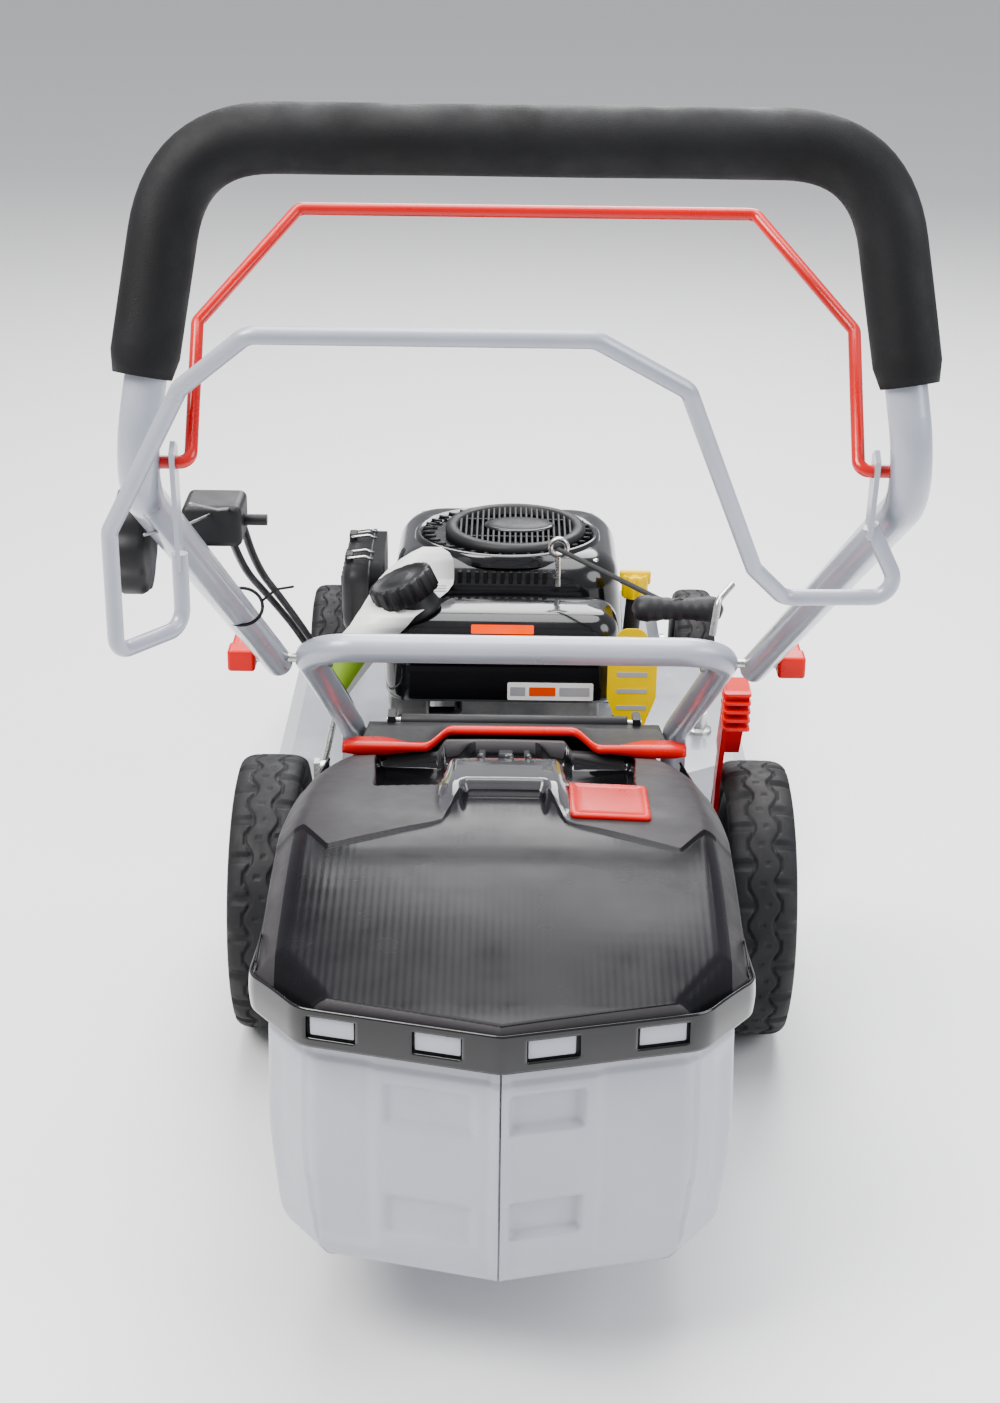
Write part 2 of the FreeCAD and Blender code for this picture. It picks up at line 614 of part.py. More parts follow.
def catcher():
    """Lid, two bin halves and the fill indicator."""
    top = [("-66", "rim_z"), ("-66", "326"), ("-130", "354"), ("-300", "396"), ("-400", "394"),
           ("bag_rear + 4", "352"), ("bag_rear - 4", "rim_z")]
    under = [("-40", "rim_z - 4"), ("-40", "303"), ("-69", "323"), ("-130", "350.6"), ("-300", "392.6"),
             ("-399", "390.6"), ("bag_rear + 7", "349"), ("bag_rear - 1", "rim_z - 4")]
    outer = common(prism("YZ", top, 420), prism("XY", plan(0), 300, (0, 0, 200), False))
    inner = common(prism("YZ", under, 420), prism("XY", plan(-3), 300, (0, 0, 200), False))
    front_wall = block((-220, -70, 300), (220, -60, 420))
    keep(cut(outer, cut(inner, front_wall)), "bag_lid")
    side = [("-66", "rim_z - 0.4"), ("-66", "176"), ("-150", "112"), ("bag_rear + 14", "bin_low"),
            ("bag_rear + 4", "rim_z - 0.4")]
    hollow = [("-69", "rim_z + 5"), ("-69", "178"), ("-151", "115"), ("bag_rear + 16", "bin_low + 3"),
              ("bag_rear + 6", "rim_z + 5")]
    for name, side_sign in (("left", -1), ("right", 1)):
        shell = common(prism("YZ", side, 420), prism("XY", plan(-6), 300, (0, 0, 50), False))
        room = common(prism("YZ", hollow, 420), prism("XY", plan(-9), 300, (0, 0, 50), False))
        mouth = block((-112, -80, 196), (112, -50, 306))
        near, far = sorted((0.1 * side_sign, -230 * side_sign))
        other_half = block((f"bag_x + {near}", -700, 60), (f"bag_x + {far}", 0, 400))
        keep(cut(shell, room, mouth, other_half), f"bag_bin_{name}")
    flag = [("-268", "389.6"), ("-268", "392.6"), ("-298", "400"), ("-344", "399.4"), ("-344", "396.4"),
            ("-299", "397")]
    knuckle = cylinder(2.4, 68, (81, -268, 391.6), "X")
    keep(fuse(prism("YZ", flag, 68, (81, 0, 0)), knuckle), "fill_indicator")


def lever_and_link():
    """Height lever and the rod that ties both axle cranks together."""
    arm, grip, boss = height_lever()
    keep(fuse(arm, grip, boss), "height_lever")
    rod = bar([(-194.5, "crank_back", 256.9), (-194.5, "wheelbase + crank_back", 216.9)], 1, 3.4)
    eyes = [cylinder(8, 6, (-194.5, y, z), "X") for y, z in (("crank_back", 256.9),
                                                           ("wheelbase + crank_back", 216.9))]
    holes = [cylinder(4.1, 20, (-194.5, "crank_back", 256.9), "X"),
             cylinder(5, 20, (-194.5, "wheelbase + crank_back", 216.9), "X")]
    keep(cut(fuse(rod, *eyes), *holes), "link_rod")


def check_and_write():
    """Stops on any failed object, then writes one file for each sub-part."""
    doc.recompute()
    for thing in doc.Objects:
        if "Invalid" in thing.State or "Error" in thing.State:
            raise RuntimeError(f"{thing.Name} ({thing.Label}) failed: {thing.State}")
    os.makedirs("parts", exist_ok=True)
    for thing in sub_parts:
        shape = thing.Shape
        if shape.isNull() or not shape.isValid() or not shape.Solids:
            raise RuntimeError(f"{thing.Label} has no valid solid")
        shape.exportStep(os.path.join("parts", thing.Label + ".step"))


deck()
running_gear()
lever_and_link()
engine()
handle()
bails()
joint_hardware()
controls()
starter()
tags()
rear_flap()
catcher()
check_and_write()
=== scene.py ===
import json
import math

import bmesh
import bpy
from mathutils import Matrix, Vector, noise

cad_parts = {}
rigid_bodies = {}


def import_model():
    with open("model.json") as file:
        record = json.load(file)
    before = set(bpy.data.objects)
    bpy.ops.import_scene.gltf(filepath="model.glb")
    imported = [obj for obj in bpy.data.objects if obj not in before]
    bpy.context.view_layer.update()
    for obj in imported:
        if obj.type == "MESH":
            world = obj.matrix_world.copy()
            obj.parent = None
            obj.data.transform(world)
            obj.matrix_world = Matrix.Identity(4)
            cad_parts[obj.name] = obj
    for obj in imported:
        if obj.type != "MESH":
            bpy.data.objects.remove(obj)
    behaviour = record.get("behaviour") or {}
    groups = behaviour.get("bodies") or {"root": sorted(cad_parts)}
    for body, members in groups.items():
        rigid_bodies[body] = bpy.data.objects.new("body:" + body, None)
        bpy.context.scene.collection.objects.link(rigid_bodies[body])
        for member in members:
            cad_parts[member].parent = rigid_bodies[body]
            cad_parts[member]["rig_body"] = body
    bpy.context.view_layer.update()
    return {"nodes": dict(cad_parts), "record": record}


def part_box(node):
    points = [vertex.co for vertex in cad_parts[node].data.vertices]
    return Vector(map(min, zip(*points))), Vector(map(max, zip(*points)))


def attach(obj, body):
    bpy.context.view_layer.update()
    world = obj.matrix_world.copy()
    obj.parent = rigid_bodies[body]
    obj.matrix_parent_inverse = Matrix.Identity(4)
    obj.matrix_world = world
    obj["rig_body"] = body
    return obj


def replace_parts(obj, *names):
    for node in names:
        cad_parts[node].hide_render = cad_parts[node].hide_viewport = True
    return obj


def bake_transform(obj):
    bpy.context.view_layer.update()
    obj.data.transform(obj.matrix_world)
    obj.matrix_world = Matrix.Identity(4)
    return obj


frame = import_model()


def middle(node):
    """Centre of a node's box."""
    low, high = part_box(node)
    return (low + high) / 2


REAR_AXLE = middle("rear_tyre_left")


def at(x, y, z):
    """Millimetres from the ground under the rear axle, as a point of the frame."""
    return Vector((x / 1000, y / 1000 + REAR_AXLE.y, z / 1000))


def turns(count, share=0.0):
    """Angles of even steps round a circle, shifted by a share of one step."""
    return [2 * math.pi * (k + share) / count for k in range(count)]


# ------------------------------------------------------------------ materials
class Shader:
    """A principled material with short calls for the nodes that feed it."""

    def __init__(self, name, colour, roughness=0.5, metallic=0.0, **sockets):
        self.material = bpy.data.materials.new(name)
        self.material.use_nodes = True
        self.tree = self.material.node_tree
        self.out = next(n for n in self.tree.nodes if n.type == "BSDF_PRINCIPLED")
        self.coords = self.tree.nodes.new("ShaderNodeTexCoord").outputs["Object"]
        self.set("Base Color", (*colour, 1))
        self.set("Roughness", roughness)
        self.set("Metallic", metallic)
        for socket, number in sockets.items():
            self.set(socket.replace("_", " "), number)
        self.normal = None

    def set(self, socket, number):
        self.out.inputs[socket].default_value = number

    def node(self, kind, **settings):
        made = self.tree.nodes.new(kind)
        for key, setting in settings.items():
            if hasattr(made, key):
                setattr(made, key, setting)
            else:
                made.inputs[key.replace("_", " ")].default_value = setting
        return made

    def link(self, source, target):
        self.tree.links.new(source, target)

    def noise(self, scale, detail, stretch=None):
        texture = self.node("ShaderNodeTexNoise", Scale=scale, Detail=detail, Roughness=0.55)
        source = self.coords
        if stretch:
            mapping = self.node("ShaderNodeMapping")
            mapping.inputs["Scale"].default_value = stretch
            self.link(source, mapping.inputs["Vector"])
            source = mapping.outputs["Vector"]
        self.link(source, texture.inputs["Vector"])
        return texture.outputs["Fac"]

    def ramp(self, source, low, high, start, end):
        spread = self.node("ShaderNodeMapRange")
        for socket, number in (("From Min", low), ("From Max", high), ("To Min", start), ("To Max", end)):
            spread.inputs[socket].default_value = number
        self.link(source, spread.inputs["Value"])
        return spread.outputs["Result"]

    def vary_colour(self, source, first, second):
        mix = self.node("ShaderNodeMix", data_type="RGBA")
        mix.inputs[6].default_value = (*first, 1)
        mix.inputs[7].default_value = (*second, 1)
        self.link(source, mix.inputs[0])
        self.link(mix.outputs[2], self.out.inputs["Base Color"])

    def vary_roughness(self, source, low, high):
        self.link(self.ramp(source, 0.3, 0.7, low, high), self.out.inputs["Roughness"])

    def bump(self, source, strength, distance):
        made = self.node("ShaderNodeBump", Strength=strength, Distance=distance)
        self.link(source, made.inputs["Height"])
        if self.normal is not None:
            self.link(self.normal, made.inputs["Normal"])
        self.normal = made.outputs["Normal"]
        self.link(self.normal, self.out.inputs["Normal"])


def tones(colour, dark, light):
    """A darker and a lighter neighbour of a colour."""
    return [tuple(min(1.0, c * factor) for c in colour) for factor in (dark, light)]


def surface(name, colour, roughness, shades, cloud, patches=None, grain=None, metallic=0.0, **sockets):
    """Cloudy colour between two shades, patchy gloss and fine grain.

    cloud is (scale, detail, low, high), patches is (scale, detail, least and most roughness) and
    grain is (scale, detail, strength, depth in metres).
    """
    shade = Shader(name, colour, roughness, metallic, **sockets)
    shade.vary_colour(shade.ramp(shade.noise(*cloud[:2]), *cloud[2:], 0, 1), *shades)
    if patches:
        shade.vary_roughness(shade.noise(*patches[:2]), *patches[2:])
    if grain:
        shade.bump(shade.noise(*grain[:2]), *grain[2:])
    return shade


def paint(name, colour, roughness=0.3, flakes=0.0):
    """Enamel under a thin clear coat."""
    return surface(name, colour, roughness, tones(colour, 0.94, 1.05), (9, 4, 0.3, 0.7),
                   (28, 4, roughness * 0.8, roughness * 1.25), (900, 2, 0.12, 0.0004), flakes,
                   Coat_Weight=0.55, Coat_Roughness=0.12).material


def moulded(name, colour, roughness=0.5, grain=0.25, scale=1400, spread=0.10):
    """Injection-moulded plastic with a fine spark grain."""
    return surface(name, colour, roughness, tones(colour, 1 - spread, 1 + spread), (14, 3, 0.3, 0.7),
                   (40, 4, roughness * 0.85, roughness * 1.15), (scale, 2, grain, 0.0003),
                   Specular_IOR_Level=0.4).material


def clear_gloss(name, colour, roughness):
    """Deep glossy plastic with a clear coat and faint waves."""
    return surface(name, colour, roughness, tones(colour, 0.85, 1.25), (7, 5, 0.35, 0.75),
                   (30, 5, roughness * 0.7, roughness * 1.8), (45, 4, 0.05, 0.0010),
                   Coat_Weight=0.6, Coat_Roughness=0.05).material


def metal(name, colour, roughness, stretch=(1, 1, 1)):
    """Bare metal whose streaks colour and roughen it together."""
    shade = Shader(name, colour, roughness, 1.0)
    streak = shade.noise(260, 4, stretch)
    shade.vary_colour(shade.ramp(streak, 0.3, 0.7, 0, 1), *tones(colour, 0.82, 1.1))
    shade.vary_roughness(shade.noise(60, 4), roughness * 0.7, roughness * 1.4)
    shade.bump(streak, 0.1, 0.0004)
    return shade.material


def cast_metal():
    return surface("cast_metal", (0.50, 0.50, 0.49), 0.5, ((0.36, 0.36, 0.36), (0.60, 0.60, 0.58)),
                   (22, 5, 0.3, 0.7), (90, 3, 0.38, 0.65), (700, 4, 0.5, 0.0008), 0.85).material


def tyre_rubber():
    """Matt rubber with dust in patches."""
    return surface("tyre_rubber", (0.017, 0.017, 0.019), 0.62, ((0.014, 0.014, 0.016), (0.040, 0.039, 0.038)),
                   (11, 5, 0.45, 0.8), (50, 4, 0.5, 0.75), (1100, 3, 0.35, 0.0004)).material


def foam_rubber():
    """Closed-cell foam, rubbed in patches."""
    shade = surface("foam_rubber", (0.010, 0.010, 0.012), 0.62, ((0.008, 0.008, 0.009), (0.016, 0.016, 0.019)),
                    (16, 5, 0.4, 0.75), (34, 4, 0.5, 0.72), Specular_IOR_Level=0.4)
    cells = shade.node("ShaderNodeTexVoronoi", Scale=1900)
    shade.link(shade.coords, cells.inputs["Vector"])
    shade.bump(cells.outputs["Distance"], 0.35, 0.0004)
    shade.bump(shade.noise(120, 4), 0.15, 0.0006)
    return shade.material


def ribbed_gloss():
    """Smoky black lid plastic with fine ribs from front to back."""
    shade = surface("lid_gloss", (0.012, 0.011, 0.014), 0.20, ((0.009, 0.009, 0.011), (0.018, 0.017, 0.021)),
                    (5, 4, 0.3, 0.7), (18, 5, 0.15, 0.30), Specular_IOR_Level=0.20)
    waves = shade.node("ShaderNodeTexWave", Scale=52.0, Distortion=0.0)
    waves.bands_direction = "X"
    shade.link(shade.coords, waves.inputs["Vector"])
    shade.bump(waves.outputs["Fac"], 0.10, 0.0005)
    shade.bump(shade.noise(60, 4), 0.06, 0.0008)
    return shade.material


def woven_rope():
    shade = Shader("woven_rope", (0.012, 0.012, 0.013), 0.8, 0.0, Sheen_Weight=0.08)
    braid = shade.node("ShaderNodeTexWave", Scale=420.0, Distortion=1.0)
    shade.link(shade.coords, braid.inputs["Vector"])
    # The braid's colour follows its own bump: painted shade darkens the grooves between the strands, and the raised
    # strands are lighter. The ridges themselves are the real weave.
    shade.vary_colour(braid.outputs["Fac"], (0.008, 0.008, 0.009), (0.028, 0.028, 0.030))
    shade.bump(braid.outputs["Fac"], 0.8, 0.0006)
    return shade.material


def card():
    return surface("card", (0.80, 0.80, 0.78), 0.45, ((0.74, 0.74, 0.72), (0.84, 0.84, 0.82)),
                   (30, 4, 0.3, 0.7), grain=(500, 3, 0.1, 0.0003), Coat_Weight=0.2).material


LOOKS = {
    "deck_paint": paint("deck_enamel", (0.40, 0.415, 0.45), 0.22, 0.25),
    "tube_paint": paint("tube_enamel", (0.42, 0.44, 0.50), 0.34, 0.1),
    "red_paint": paint("red_enamel", (0.62, 0.020, 0.014), 0.28),
    "red_plastic": moulded("red_moulding", (0.66, 0.022, 0.014), 0.30, 0.12),
    "black_plastic": moulded("black_moulding", (0.022, 0.022, 0.024), 0.46, 0.35),
    "black_gloss": clear_gloss("black_gloss_moulding", (0.010, 0.010, 0.012), 0.13),
    "lid_plastic": moulded("lid_grain", (0.050, 0.047, 0.050), 0.50, 0.55, 900),
    "bin_plastic": moulded("bin_moulding", (0.47, 0.48, 0.53), 0.36, 0.14, 1000, 0.03),
    "tyre_rubber": tyre_rubber(),
    "foam": foam_rubber(),
    "zinc": metal("zinc_plate", (0.62, 0.62, 0.60), 0.26),
    "steel": metal("bare_steel", (0.42, 0.42, 0.42), 0.36, (1, 8, 1)),
    "cast_aluminium": cast_metal(),
    "cable_black": moulded("cable_jacket", (0.014, 0.014, 0.015), 0.42, 0.15),
    "rope": woven_rope(),
    "tag": card(),
    "yellow_plastic": moulded("yellow_moulding", (0.80, 0.56, 0.005), 0.33, 0.10),
}
RIBBED = ribbed_gloss()
SMOKE = clear_gloss("smoke_gloss_moulding", (0.085, 0.085, 0.092), 0.10)
GREEN_PRINT = moulded("green_print", (0.30, 0.48, 0.06), 0.4, 0.05)
ORANGE_PRINT = moulded("orange_print", (0.80, 0.075, 0.002), 0.85, 0.04)
GREY_PRINT = moulded("grey_print", (0.36, 0.36, 0.38), 0.4, 0.04)
DARK_GREY = moulded("rim_moulding", (0.045, 0.045, 0.050), 0.40, 0.3)

for entry in frame["record"]["subparts"]:
    shown = frame["nodes"][entry["node"]]
    shown.data.materials.clear()
    shown.data.materials.append(LOOKS[entry["material_slot"]])


# ------------------------------------------------------------------ mesh helpers
def add_object(name, data):
    made = bpy.data.objects.new(name, data)
    bpy.context.scene.collection.objects.link(made)
    return made


def face_outwards(mesh, merge=False):
    """Turn the faces outwards, after making doubled points one where asked."""
    cleaned = bmesh.new()
    cleaned.from_mesh(mesh)
    if merge:
        bmesh.ops.remove_doubles(cleaned, verts=cleaned.verts, dist=1e-6)
    bmesh.ops.recalc_face_normals(cleaned, faces=cleaned.faces)
    cleaned.to_mesh(mesh)
    cleaned.free()


def mesh_piece(name, points, faces, slot, body, material=None):
    mesh = bpy.data.meshes.new(name)
    mesh.from_pydata([tuple(p) for p in points], [], faces)
    mesh.validate()
    face_outwards(mesh, merge=True)
    mesh.materials.append(material or LOOKS[slot])
    for polygon in mesh.polygons:
        polygon.use_smooth = True
    piece = add_object(name, mesh)
    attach(piece, body)
    return piece


def apply_modifiers(piece):
    """Put the modifiers' result into the piece's mesh."""
    graph = bpy.context.evaluated_depsgraph_get()
    solid = bpy.data.meshes.new_from_object(piece.evaluated_get(graph))
    piece.modifiers.clear()
    piece.data = solid
    return piece


def add_bevel(piece, width, segments, angle):
    bevel = piece.modifiers.new("Round", "BEVEL")
    bevel.width = width
    bevel.segments = segments
    bevel.limit_method = "ANGLE"
    bevel.angle_limit = math.radians(angle)
    bevel.harden_normals = True


def rounded(piece, width, segments=3):
    add_bevel(piece, width, segments, 30)
    return apply_modifiers(piece)


def thickened(piece, thickness, offset):
    """Give an open sheet its wall."""
    wall = piece.modifiers.new("Wall", "SOLIDIFY")
    wall.thickness = thickness
    wall.offset = offset
    return apply_modifiers(piece)


def soft_corner(before, corner, after, radius, share, steps):
    """Points of a soft turn at a corner that takes up at most a share of each side."""
    back, ahead = before - corner, after - corner
    reach = min(radius / math.tan(back.angle(ahead) / 2), back.length * share, ahead.length * share)
    first, last = corner + back.normalized() * reach, corner + ahead.normalized() * reach
    return [((1 - t) ** 2) * first + 2 * t * (1 - t) * corner + t * t * last
            for t in (k / steps for k in range(steps + 1))]


def rounded_polygon(corners, radius, steps=6):
    """A closed plan outline with every corner rounded."""
    corners = [Vector(corner) for corner in corners]
    points = []
    for i, corner in enumerate(corners):
        points += soft_corner(corners[i - 1], corner, corners[(i + 1) % len(corners)], radius, 0.45, steps)
    return points


def rectangle(x0, x1, y0, y1, radius, steps=4):
    return rounded_polygon([(x0, y0), (x1, y0), (x1, y1), (x0, y1)], radius, steps)


def smooth_path(points, bend, steps=8):
    """Straight runs with soft turns, as close points, for bent bars and wires."""
    path = [points[0]]
    for before, corner, after in zip(points, points[1:], points[2:]):
        path += soft_corner(before, corner, after, bend, 0.48, steps)
    return path + [points[-1]]


def close_points(path, step=0.005):
    """The same path with points about a step (m) apart."""
    result = []
    for first, last in zip(path, path[1:]):
        steps = max(1, int((last - first).length / step))
        result += [first.lerp(last, k / steps) for k in range(steps)]
    return result + [path[-1]]


def loft(name, rings, slot, body, material=None, caps=True):
    """Closed rings of equally many points, joined one to the next."""
    count = len(rings[0])
    points = [p for ring in rings for p in ring]
    faces = []
    for start in range(0, len(points) - count, count):
        for i in range(count):
            j = (i + 1) % count
            faces.append((start + i, start + j, start + count + j, start + count + i))
    if caps:
        faces.append(tuple(range(count))[::-1])
        faces.append(tuple(range(len(points) - count, len(points))))
    return mesh_piece(name, points, faces, slot, body, material)


def plate(name, outline, thickness, place, slot, body, material=None, bevel=0.0008):
    """A flat outline made solid: place maps (u, v, w) in mm to a point, w through the thickness."""
    rings = [[place(u, v, w) for u, v in outline] for w in (0, thickness)]
    return rounded(loft(name, rings, slot, body, material), bevel, 2)


def square_to(axis):
    """Two unit directions square to an axis and to each other."""
    side = axis.orthogonal().normalized()
    return side, axis.cross(side)


def turned(name, profile, centre, axis, slot, body, material=None, segments=64):
    """A profile of (radius, along) in mm turned about an axis."""
    axis = Vector(axis).normalized()
    side, other = square_to(axis)
    rings = [[centre + axis * (along / 1000) + (side * math.cos(a) + other * math.sin(a)) * (radius / 1000)
              for a in turns(segments)] for radius, along in profile]
    return loft(name, rings, slot, body, material, caps=False)


def block(name, low, high, slot, body, bevel=0.002, material=None, segments=3):
    corners = [at(x, y, z) for z in (low[2], high[2]) for x, y in
               ((low[0], low[1]), (high[0], low[1]), (high[0], high[1]), (low[0], high[1]))]
    faces = [(3, 2, 1, 0), (4, 5, 6, 7), (0, 1, 5, 4), (1, 2, 6, 5), (2, 3, 7, 6), (3, 0, 4, 7)]
    return rounded(mesh_piece(name, corners, faces, slot, body, material), bevel, segments)


def tube(name, path, radii, slot, body, segments=16):
    """A round bar along close points, with caps and a steady twist; radii is one radius or one per point."""
    if not isinstance(radii, (list, tuple)):
        radii = [radii] * len(path)
    tangents = [(path[min(i + 1, len(path) - 1)] - path[max(i - 1, 0)]).normalized() for i in range(len(path))]
    side = tangents[0].orthogonal().normalized()
    rings = []
    for point, tangent, size in zip(path, tangents, radii):
        side = (side - tangent * side.dot(tangent)).normalized()
        other = tangent.cross(side)
        rings.append([point + (side * math.cos(a) + other * math.sin(a)) * size for a in turns(segments)])
    return loft(name, rings, slot, body)


def join(name, pieces):
    """Several meshes of one body made one piece; the first keeps its place and slot."""
    for piece in pieces:
        piece.select_set(False)
    with bpy.context.temp_override(active_object=pieces[0], selected_editable_objects=pieces,
                                   selected_objects=pieces, object=pieces[0]):
        bpy.ops.object.join()
    pieces[0].name = name
    return pieces[0]


# ------------------------------------------------------------------ wheels
PER_LUG = 18             # steps round the tyre for each lug of its tread
GROOVE, SHOULDER_CUT, CENTRE_SIPE = 2.6, 3.2, 1.6    # depths in mm


def tread_depth(across, turn):
    """How far the tread is cut back, in mm, at a place across (-1..1) and a turn within one lug."""
    turn = (turn + (0.0 if across > 0 else 0.5)) % 1.0
    wave = 4 * abs(turn - 0.5) - 1
    zigzag = 0.40 + 0.13 * max(-0.6, min(0.6, wave)) / 0.6
    width = abs(across)
    if abs(width - zigzag) < 0.050:
        return GROOVE
    if width > zigzag:
        return SHOULDER_CUT if abs(turn - 0.5) < 0.10 + 0.05 * (width - zigzag) else 0.0
    return CENTRE_SIPE if width < 0.20 and turn < 0.05 else 0.0


def wheel_sizes(end, side):
    """Centre in metres, and tyre radius and half width in mm."""
    low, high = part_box(f"{end}_tyre_{side}")
    return (low + high) / 2, (high.z - low.z) * 500, (high.x - low.x) * 500


def tyre(end, side, lugs):
    """Tyre with rounded shoulders and a lugged tread."""
    centre, radius, half = wheel_sizes(end, side)
    wall = [(radius - 31, -half + 9), (radius - 30, -half + 4), (radius - 22, -half + 1.2),
            (radius - 12, -half + 0.2), (radius - 6, -half + 1.6)]
    tread_half = half - 2.2
    crown = [(radius - 4.5 * abs(across) ** 6 - 0.8 * across * across, across * tread_half)
             for across in (-1 + 2 * k / 48 for k in range(49))]
    profile = wall + crown + [(r, -x) for r, x in reversed(wall)]
    around = lugs * PER_LUG
    rings = []
    for a, angle in enumerate(turns(around)):
        turn = (a % PER_LUG + 0.5) / PER_LUG
        ring = []
        for k, (r, x) in enumerate(profile):
            if len(wall) - 2 < k < len(wall) + len(crown) + 1:
                r -= tread_depth(max(-1, min(1, x / tread_half)), turn)
            ring.append(centre + Vector((x, math.sin(angle) * r, math.cos(angle) * r)) / 1000)
        rings.append(ring)
    piece = loft(f"{end}_tyre_{side}_tread", rings + rings[:1], "tyre_rubber", f"{end}_wheel_{side}", caps=False)
    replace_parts(piece, f"{end}_tyre_{side}")


def wheel_rim(end, side):
    """A moulded rim with spokes, a hub, a silver trim ring and a centre cap."""
    centre, radius, half = wheel_sizes(end, side)
    radius -= 30.4
    out = Vector((1 if side == "right" else -1, 0, 0))
    body = f"{end}_wheel_{side}"

    def dark(name, profile, segments=72):
        return turned(name, profile, centre, out, "black_plastic", body, DARK_GREY, segments)

    pieces = [
        dark("rim", [(radius - 5, -half + 8), (radius, -half + 7), (radius + 0.2, half - 8), (radius - 4, half - 6),
                     (radius - 8, half - 10), (radius - 9, 6), (radius - 12, 2), (radius - 12, -4), (radius - 8, -8),
                     (radius - 5, -half + 8)]),
        dark("dish", [(22, half - 16), (30, half - 17), (radius - 22, 4), (radius - 10, 2), (radius - 10, -3),
                      (radius - 22, -2), (30, half - 24), (22, half - 24), (22, half - 16)]),
        dark("hub", [(9.9, -half + 13), (22, -half + 13), (24, half - 14), (21, half - 11), (9.9, half - 11),
                     (9.9, -half + 13)], 48),
    ]
    for angle in turns(9 if end == "rear" else 7):
        along = Vector((0, math.sin(angle), math.cos(angle)))
        wide = along.cross(out)
        corners = [centre + (along * reach + out * depth + wide * w) / 1000
                   for reach, face, width in ((23, half - 14, 6), (radius - 11, 7, 9))
                   for depth in (face, face - 13) for w in (-width, width)]
        faces = [(0, 1, 5, 4), (2, 6, 7, 3), (0, 4, 6, 2), (1, 3, 7, 5), (0, 2, 3, 1), (4, 5, 7, 6)]
        pieces.append(rounded(mesh_piece("spoke", corners, faces, "black_plastic", body, DARK_GREY), 0.002, 2))
    whole = join(f"{end}_rim_{side}_spoked", pieces)
    ring = [(radius - 4, half - 6.2), (radius - 6, half - 4.6), (radius - 11, half - 6), (radius - 12, half - 8.5),
            (radius - 8, half - 9.8), (radius - 4, half - 6.2)]
    turned(f"{end}_trim_ring_{side}", ring, centre, out, "zinc", body, segments=72)
    size = 27 if end == "rear" else 22
    cap = [(0, half + 1.0), (size * 0.5, half + 0.6), (size * 0.78, half - 0.6), (size * 0.8, half - 1.6),
           (size, half - 3.4), (size, half - 9), (0, half - 9)]
    turned(f"{end}_hub_button_{side}", cap, centre, out, "zinc", body, LOOKS["tube_paint"], 48)
    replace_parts(whole, f"{end}_rim_{side}")


def wheels():
    for end, lugs in (("rear", 22), ("front", 18)):
        for side in ("left", "right"):
            tyre(end, side, lugs)
            wheel_rim(end, side)


# ------------------------------------------------------------------ grip
FOAM_RADIUS = 0.0204


def foam_grip():
    """Foam sleeve over the handle's top bend, drawn in at its two ends."""
    half = [at(-225.5, -758.5, 880), at(-204, -724, 1013)]
    corners = half + [Vector((-p.x, p.y, p.z)) for p in reversed(half)]
    path = close_points(smooth_path(corners, 0.066, 14), 0.006)
    radii = []
    for i, point in enumerate(path):
        end = min(i, len(path) - 1 - i)
        taper = min(1.0, 0.86 + 0.07 * end) if end < 3 else 1.0
        radii.append(FOAM_RADIUS * taper + 0.00018 * noise.noise(point * 30))
    sleeve = tube("foam_grip_sleeve", path, radii, "foam", "handle", segments=40)
    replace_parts(sleeve, "foam_grip")


# ------------------------------------------------------------------ grass catcher
BAG_X = -9               # the catcher's middle line, mm
BAG_HALF = 192           # half its width, mm
LID_FRONT, LID_BACK = -66, -611
RIM_LOW, RIM_HIGH = 313.0, 346.0
FOOT_Z, WALL_TOP = 96.5, 311
LID_HALF = 190
LID_WIDTHS = [(66, 158), (200, 183), (330, LID_HALF), (520, LID_HALF), (573, 150), (610, 4)]
CREST = [(0, 329), (66, 329), (130, 354), (215, 378), (290, 392), (345, 395), (420, 390), (500, 376), (612, 350)]
ZONE = [(0, -292), (31, -292), (38, -302), (52, -346), (62, -352), (146, -386), (168, -350), (230, -352)]
BACK_SLOPE = 38 / 152    # how fast the pointed back falls away from its middle
RIM_WINDOWS = ((-147, -109), (-67, -28), (18, 58), (102, 142))


def smoothstep(low, high, number):
    t = max(0.0, min(1.0, (number - low) / (high - low)))
    return t * t * (3 - 2 * t)


def falling(high, low, number):
    """0 above high, 1 below low."""
    return 1 - smoothstep(low, high, number)


def along_marks(marks, number):
    """Straight-line reading between marks (place, value)."""
    for (a, first), (b, last) in zip(marks, marks[1:]):
        if number <= b:
            return first + (last - first) * (number - a) / (b - a)
    return marks[-1][1]


def lid_plan(y):
    """Half the lid's width at a place y, mm."""
    return along_marks(LID_WIDTHS, -y)


def recess(dx, y):
    """1 in the hand recess in front of the carrying hump, 0 outside it."""
    wide = 1 - smoothstep(117, 123, dx + 8 * falling(-92, -260, y))
    lead = 11 * (1 - smoothstep(56, 66, dx))
    front = falling(-86 + lead, -90 + lead, y)
    back_line = -212 - 50 * smoothstep(50, 58, dx)
    return wide * front * (1 - falling(back_line + 5, back_line - 3, y))


def hump_rise(dx, y):
    """Height of the carrying hump over the lid, mm."""
    side = 1 - smoothstep(44, 60, dx)
    front = falling(-206, -216, y)
    tongue = smoothstep(31, 40, dx)
    back = (1 - falling(-284, -297, y)) * (1 - tongue) + (1 - falling(-288, -350, y)) * tongue
    return 13 * side * front * back


